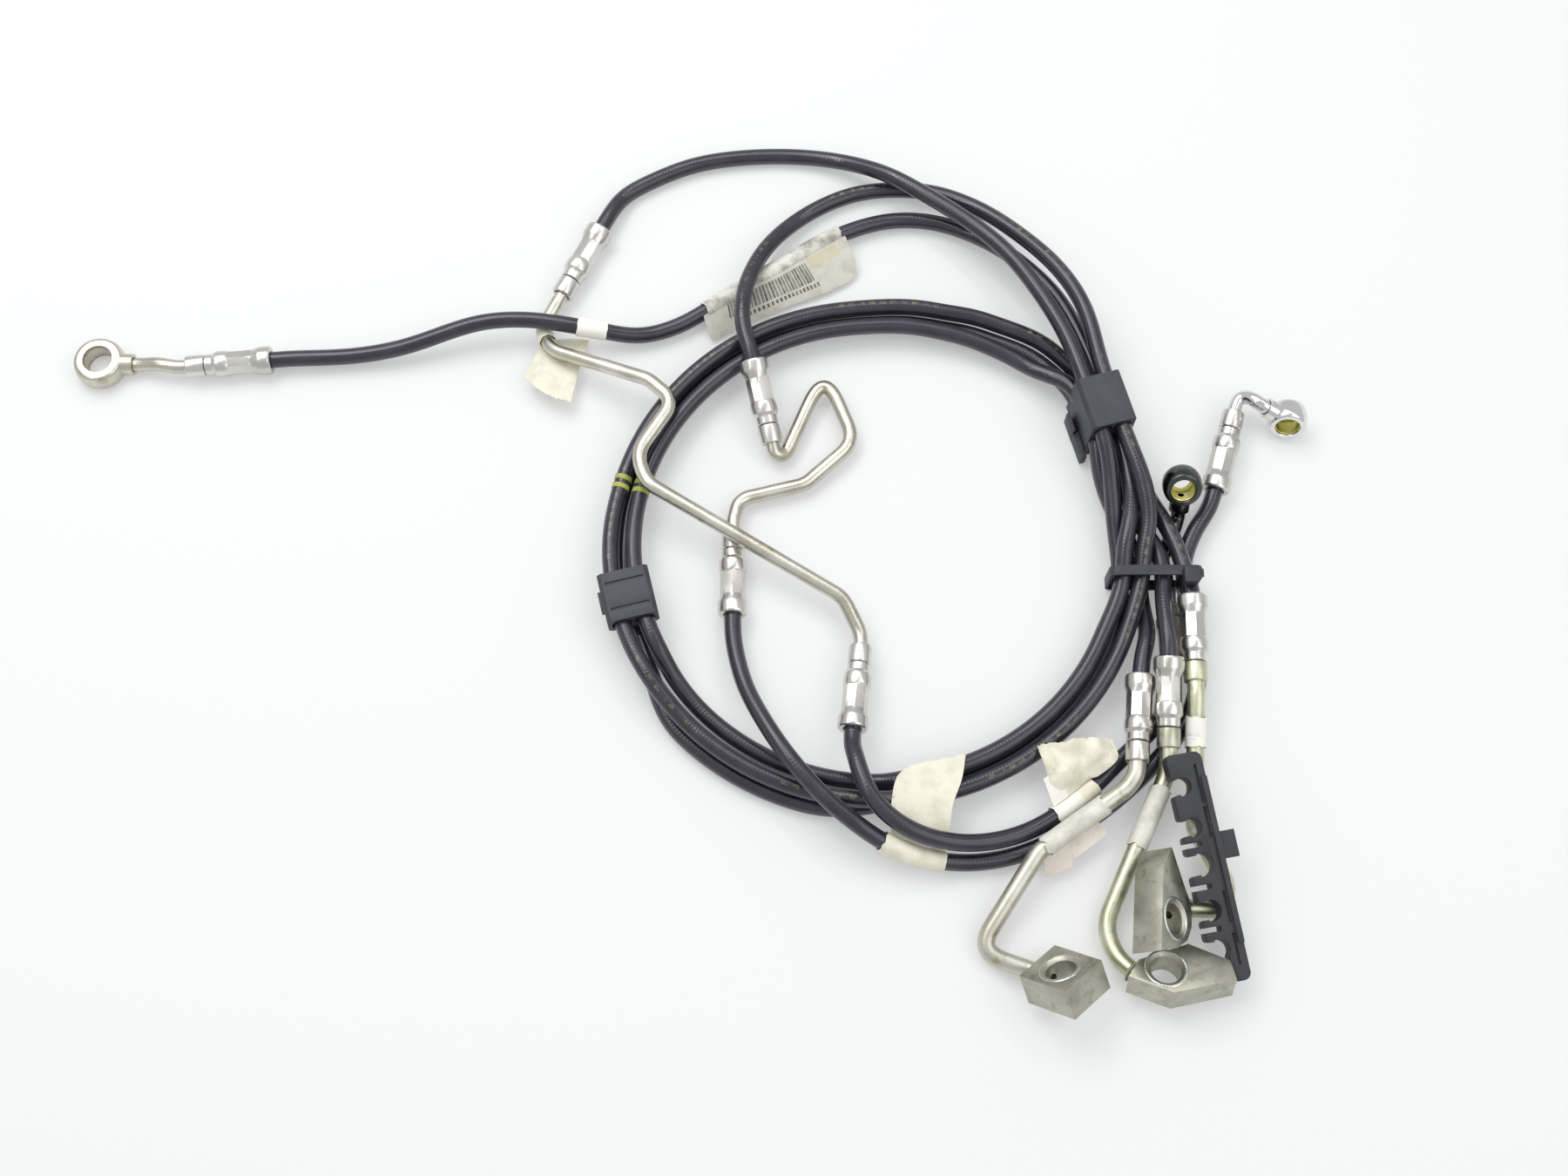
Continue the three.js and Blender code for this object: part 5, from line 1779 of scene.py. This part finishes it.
# ---------------------------------------------------------------- paper wraps and paint
@dataclass
class Paper:
    """A sheet of label paper; one that is named after a CAD node stands for it."""

    name: str

    def sheet(self, places: list[list[Vector]], finish: Finish, crease: float) -> None:
        """Makes the sheet through a grid of places, gives it a thickness and dresses it.

        Args:
            places: the rows of places in the row frame, in metres.
            finish: its paper.
            crease: in degrees, from which a fold is sharp.
        """
        columns = len(places[0])
        deselect()
        bpy.ops.mesh.primitive_grid_add(x_subdivisions=columns - 1, y_subdivisions=len(places) - 1, size=MM)
        piece = named(f"{self.name}_skin")
        piece.data.uv_layers[0].name = "sheet"
        for index, vertex in enumerate(piece.data.vertices):
            vertex.co = places[index // columns][index % columns]
        apply_modifier(piece, "SOLIDIFY", thickness=PAPER_THICKNESS * MM, offset=0.0)
        nodes = [self.name] if self.name.startswith("paper_wrap_") else []
        dress(soften(mended(piece), angle=crease), finish, *nodes)


@dataclass
class PaperSleeve(Paper):
    """Label paper wound once round a hose or tube: it follows the bends, and its ends are torn."""

    run: str
    start: Place
    end: Place
    finish: Finish = Finish.PAPER
    seed: float = 0.0
    ragged: float = 0.7
    gap: float = 0.42
    turn: float = 385.0
    edge: float = -100.0
    lap: float = 0.24
    dent: float = 0.12
    sides: int = 40
    rows: int = 18

    def build(self, floor: Floor, runs: dict[str, tuple[list[Vector], float]]) -> None:
        """Builds the sleeve round its stretch of the run.

        Args:
            floor: the layout's place.
            runs: the hoses' and tubes' centrelines and radii.
        """
        path, radius = runs[self.run]
        first, last = sorted(
            min(range(len(path)), key=lambda i, place=Vector(place): (path[i] - place).length)
            for place in (self.start, self.end)
        )
        stretch = path[first : last + 1]
        places = []
        for row in range(self.rows):
            share = row / (self.rows - 1)
            here = spline_at(stretch, share)
            way = (spline_at(stretch, share + 0.04) - spline_at(stretch, share - 0.04)).normalized()
            across = way.cross(UP).normalized()
            above = across.cross(way)
            end = abs(share * 2 - 1) ** 8 * math.copysign(1, share - 0.5)
            line = []
            for k in range(self.sides):
                wound = k / (self.sides - 1)
                angle = math.radians(self.edge + self.turn * wound)
                x, y = math.cos(angle), math.sin(angle)
                tear = noise.noise(Vector((x * 1.7, y * 1.7, self.seed + end))) * self.ragged
                dent = noise.noise(Vector((x * 1.4, share * 4, self.seed + 7))) * self.dent
                out = radius + self.gap + self.lap * wound + dent
                line.append(floor.at(here + (across * x + above * y) * out + way * tear * abs(end)))
            places.append(line)
        self.sheet(places, self.finish, 40)


@dataclass
class PaperFlag(Paper):
    """A loose sheet of label paper over a net of places, from its glued edge to its free edge."""

    net: list[list[Place]]
    finish: Finish
    crumple: float = 0.5
    torn: float = 0.0
    corner: float = 0.0
    seed: float = 0.0
    columns: int = 40
    rows: int = 26

    def reach(self, across: float) -> float:
        """How far out the sheet goes where it is torn or its corner is round.

        Args:
            across: the place along the glued edge, from 0 to 1.

        Returns:
            A share of the net.
        """
        tear = (0.5 + 0.5 * noise.noise(Vector((across * 5, self.seed, 3)))) * self.torn
        tear += 0.3 * self.torn * noise.noise(Vector((across * 23, self.seed, 5)))
        past = max(0.0, (across - 1) / 0.12 + 1) if self.corner > 0 else 0.0
        return 1 - tear - self.corner * (1 - math.sqrt(max(0.0, 1 - past * past)))

    def build(self, floor: Floor) -> None:
        """Builds the sheet, creased more toward its free edge.

        Args:
            floor: the layout's place.
        """
        lines = [[Vector(place) for place in line] for line in self.net]
        places = []
        for row in range(self.rows):
            line = []
            for column in range(self.columns):
                across = column / (self.columns - 1)
                out = row / (self.rows - 1) * self.reach(across)
                point = spline_at([spline_at(places_out, across) for places_out in lines], out)
                fold = noise.noise(Vector((point.x * 0.13, point.y * 0.13, self.seed)))
                crease = 1 - abs(noise.noise(Vector((point.x * 0.22, point.y * 0.17, self.seed + 9)))) * 3
                point.z += self.crumple * min(1.0, out * 2.5) * (fold * 1.3 + 0.35 * max(0.0, crease))
                line.append(floor.at(point))
            places.append(line)
        self.sheet(places, self.finish, 28)


SLEEVES = (
    PaperSleeve(
        "paper_wrap_label", "hose_a", (-35.5, 126.5, 4.7), (23.5, 164.3, 4.7),
        Finish.PAPER_GRIMED, 1.0, 0.9,
    ),
    PaperSleeve("paper_wrap_hose_a", "hose_a", (-89, 115.8, 11), (-77.4, 114.6, 9.5), seed=2.0, ragged=0.4),
    PaperSleeve("paper_sleeve_side_white", "hose_d", (106.5, -96.9, 5.6), (116.2, -90.6, 4.9), seed=3.0),
    PaperSleeve(
        "paper_wrap_hose_e", "hose_e", (38.5, -109.6, 13.2), (62.5, -115.3, 6.2),
        Finish.PAPER_AGED, 4.0, 1.0,
    ),
    PaperSleeve(
        "paper_sleeve_side_aged", "hose_d", (115, -91.4, 4.9), (122, -85.6, 4.6),
        Finish.PAPER_AGED, 5.0,
    ),
    PaperSleeve(
        "paper_sleeve_long_line", "mid_line_long", (-105, 117, 4.6), (-102.2, 110.8, 6.6),
        Finish.PAPER_AGED, 6.0,
    ),
    PaperSleeve(
        "paper_wrap_block_a", "block_a_tube", (101.2, -110.9, 12.2), (124.6, -94.6, 12.8),
        Finish.PAPER_FILM, 7.0, 2.4,
    ),
    PaperSleeve(
        "paper_wrap_block_b", "block_b_tube", (148.4, -86.6, 8.7), (137.6, -109.8, 7),
        Finish.PAPER_FILM, 8.0, 1.2,
    ),
    PaperSleeve(
        "paper_wrap_block_c", "block_c_tube", (163.4, -58.5, 12), (162.6, -70.5, 9.6),
        seed=9.0, ragged=1.0,
    ),
)

FLAGS = (
    PaperFlag("paper_flag_label", [
        [(-35, 123.4, 7.2), (-21, 133, 7.6), (-4, 142.4, 7.6), (10, 151.6, 7.6), (26.8, 162.4, 7.4)],
        [(-33.4, 118.6, 4.6), (-19.6, 127, 4.8), (-1, 136.2, 4.8), (14.6, 144.5, 5), (30.6, 153.8, 5)],
        [(-31.3, 113.4, 1.9), (-18.2, 120.2, 1.6), (1.9, 129.9, 1.8), (19.2, 137, 2), (33.8, 144.6, 2.2)],
    ], Finish.PAPER_PRINTED, 0.35, 0.03, 0.3, 1.0, 70, 34),
    PaperFlag("paper_wrap_hose_d", [
        [(41.5, -107.2, 12.4), (51.5, -110, 10.3), (61.5, -111.6, 8.2)],
        [(41.8, -100, 13.7), (53, -101.5, 12.7), (64.3, -102.8, 11.7)],
        [(41.9, -92.9, 14.4), (54, -93.5, 14.3), (65.8, -94.4, 14.1)],
        [(44.3, -83.5, 14.5), (57, -84, 14.5), (69.5, -84.5, 14.3)],
        [(50.5, -78.6, 14.5), (60, -76, 14.4), (71.5, -73.7, 14.2)],
    ], Finish.PAPER_AGED, 0.22, 0.05, 0.0, 2.0),
    PaperFlag("paper_wrap_hose_d_side", [
        [(107, -93, 8.4), (113.5, -88.6, 8.2), (120.4, -82.6, 8)],
        [(104, -85, 12.8), (113.8, -80, 13.8), (124.3, -81.8, 9.8)],
        [(101, -77, 15), (115, -74, 15.2), (131.6, -75, 10.4)],
        [(99.2, -71, 15.2), (116.7, -67.6, 15.6), (128.5, -64.7, 11.4)],
    ], Finish.PAPER_AGED, 2.2, 0.12, 0.0, 3.4),
    PaperFlag("paper_flag_side_strip", [
        [(105.6, -94.3, 8.6), (111.6, -90.2, 8.6)],
        [(101.4, -84, 13.2), (107.4, -80, 14.4)],
    ], Finish.PAPER, 0.3, 0.05, 0.0, 4.0, 14, 16),
    PaperFlag("paper_wrap_long_line", [
        [(-104.8, 113.4, 1.5), (-94, 114.5, 1.6), (-84.6, 114, 1.6)],
        [(-107.9, 102.9, 4.4), (-97.6, 101.2, 5.0), (-88, 98.5, 4.4)],
        [(-111.5, 91.8, 8.6), (-101.6, 82.8, 9.8), (-90.9, 78.6, 8.8)],
    ], Finish.PAPER_AGED, 0.45, 0.09, 0.0, 5.0),
    PaperFlag("paper_flag_block_a_upper", [
        [(110.5, -107, 9.8), (121.4, -99.4, 10)], [(112.8, -114.9, 7), (126.6, -104.8, 8)],
    ], Finish.PAPER_PINKED, 0.25, 0.03, 0.2, 6.0, 24, 14),
    PaperFlag("paper_flag_block_a_lower", [
        [(100.6, -113.9, 9.4), (111.7, -107.6, 9.8)], [(101.6, -121.6, 4.6), (112.6, -117.6, 5.6)],
    ], Finish.PAPER_PINKED, 0.35, 0.05, 0.2, 7.0, 24, 14),
)


@dataclass
class PaintBand:
    """A ring of marking paint brushed round a hose of the coil."""

    name: str
    hose: str
    angle: float
    width: float = 2.2
    stand: float = 0.2

    def build(self, floor: Floor) -> None:
        """Builds the ring as a thin sleeve.

        Args:
            floor: the layout's place.
        """
        half, inner, outer = self.width / 2, HOSE_RADIUS - 0.1, HOSE_RADIUS + self.stand
        profile = [(inner, -half), (outer, -half + 0.1), (outer, half - 0.1), (inner, half)]
        band = turned(self.name, profile, 32)
        here = COIL.point(self.hose, self.angle)
        way = COIL.point(self.hose, self.angle - 1) - COIL.point(self.hose, self.angle + 1)
        set_in_place(soften(band, angle=60), basis(floor.at(here), way, UP), Finish.PAINT)


BANDS = (
    PaintBand("paint_band_a_1", "a", -192.9), PaintBand("paint_band_a_2", "a", -195.2),
    PaintBand("paint_band_c_1", "c", -193.0), PaintBand("paint_band_c_2", "c", -195.2),
)


# ---------------------------------------------------------------- studio
@dataclass
class Studio:
    """A plain pale floor, soft lamps and the camera."""

    camera_place: Place = (0, -258.9, 711.3)
    focal: float = 42.0
    backdrop_share: float = 0.3
    floor_size: float = 6.0
    floor_drop: float = 0.0002
    surround: float = 0.7
    lamps: tuple[tuple[str, Place, tuple[float, float], float], ...] = (
        ("key", (-0.35, 0.6, 1.15), (0.9, 0.9), 7.5),
        ("fill", (0.75, -0.35, 1.0), (0.9, 0.9), 3.2),
        ("strip_left", (-0.55, 0.25, 1.0), (1.3, 0.06), 2.0),
        ("strip_right", (0.5, 0.5, 1.0), (1.3, 0.06), 1.6),
    )

    def build(self, floor: Floor) -> None:
        """Sets up the floor, the lamps, the world and the camera.

        Args:
            floor: the layout's place.
        """
        self.surface()
        for lamp in self.lamps:
            self.lamp(*lamp)
        self.world()
        self.camera(floor)

    def surface(self) -> None:
        """The floor: a large sheet with a pale, matte coat that keeps soft shadows."""
        deselect()
        bpy.ops.mesh.primitive_grid_add(x_subdivisions=4, y_subdivisions=4, size=self.floor_size)
        sheet = named("studio_floor")
        sheet.data.transform(Matrix.Translation((0, 0, -self.floor_drop)))
        tree = Tree("matte_white_floor")
        tree.feed(tree.shader, {"Base Color": linear("e2e4e4"), "Roughness": 0.8, "Specular IOR Level": 0.2})
        rays = tree.add("LightPath").node.outputs
        seen = rays["Is Camera Ray"]
        seen = tree.worked(seen, ("MAXIMUM", rays["Is Glossy Ray"]), ("MAXIMUM", rays["Is Transmission Ray"]))
        glow = tree.add("Emission", {"Color": (1, 1, 1, 1), "Strength": 1.0})
        share = tree.worked(seen, ("MULTIPLY", self.backdrop_share))
        both = tree.add("MixShader", (share, tree.shader.outputs[0], glow))
        tree.feed(tree.nodes["Material Output"], {"Surface": both})
        sheet.data.materials.append(tree.material)

    def lamp(self, name: str, place: Sequence[float], size: tuple[float, float], power: float) -> None:
        """A soft box or strip that looks at the middle of the set.

        Args:
            name: the lamp's name.
            place: where it hangs, in metres.
            size: its width and depth, in metres.
            power: in watts.
        """
        deselect()
        bpy.ops.object.light_add(type="AREA", location=place)
        lamp = named(name)
        lamp.data.shape = "RECTANGLE"
        lamp.data.size, lamp.data.size_y = size
        lamp.data.energy = power
        lamp.rotation_euler = (-Vector(place)).to_track_quat("-Z", "Y").to_euler()

    def world(self) -> None:
        """An even pale surround."""
        world = bpy.data.worlds.new("studio")
        bpy.context.scene.world = world
        world.use_nodes = True
        back = world.node_tree.nodes["Background"]
        back.inputs["Color"].default_value = linear("f4f5f6")
        back.inputs["Strength"].default_value = self.surround

    def camera(self, floor: Floor) -> None:
        """The camera, at the photograph's angle.

        Args:
            floor: the layout's place.
        """
        place = floor.at(self.camera_place)
        deselect()
        bpy.ops.object.camera_add(location=place)
        camera = named("camera")
        camera.data.lens = self.focal
        camera.data.sensor_width = 36
        camera.data.clip_start = 0.05
        camera.rotation_euler = (floor.at((0, 0, 0)) - place).to_track_quat("-Z", "Y").to_euler()
        bpy.context.scene.camera = camera


def runs_of_the_set() -> dict[str, tuple[list[Vector], float]]:
    """Every hose's and hard line's centreline on the layout, with its radius.

    Returns:
        The centreline and radius by name.
    """
    runs = {f"hose_{hose.letter}": (eased(hose.centreline()), HOSE_RADIUS) for hose in HOSES}
    runs |= {line.name: (evenly(line.centreline(), 1.5), line.radius) for line in HARD_LINES}
    return runs


def main() -> None:
    """Builds the set in order."""
    logging.basicConfig(level=logging.INFO, format="%(message)s")
    scene = bpy.context.scene
    for stray in list(scene.objects):
        bpy.data.objects.remove(stray)
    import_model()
    floor = Floor.from_frame()
    scene.view_settings.view_transform = "Standard"
    Studio().build(floor)
    shop = FittingShop()
    ferrule, collar = shop.ferrule(), shop.collar()
    for fitting in FITTINGS:
        fitting.build(floor, ferrule, collar)
    bpy.data.objects.remove(ferrule)
    bpy.data.objects.remove(collar)
    parts = (*HOSES, LEFT_EYE, RIGHT_EYE, DARK_EYE, BLOCK_A, BLOCK_B, BLOCK_C, *HARD_LINES)
    for part in (*parts, TwinClip(), CLIP, ZipTie(), CombClip()):
        part.build(floor)
    runs = runs_of_the_set()
    for sleeve in SLEEVES:
        sleeve.build(floor, runs)
    for part in (*FLAGS, *BANDS):
        part.build(floor)


if __name__ == "__main__":
    main()
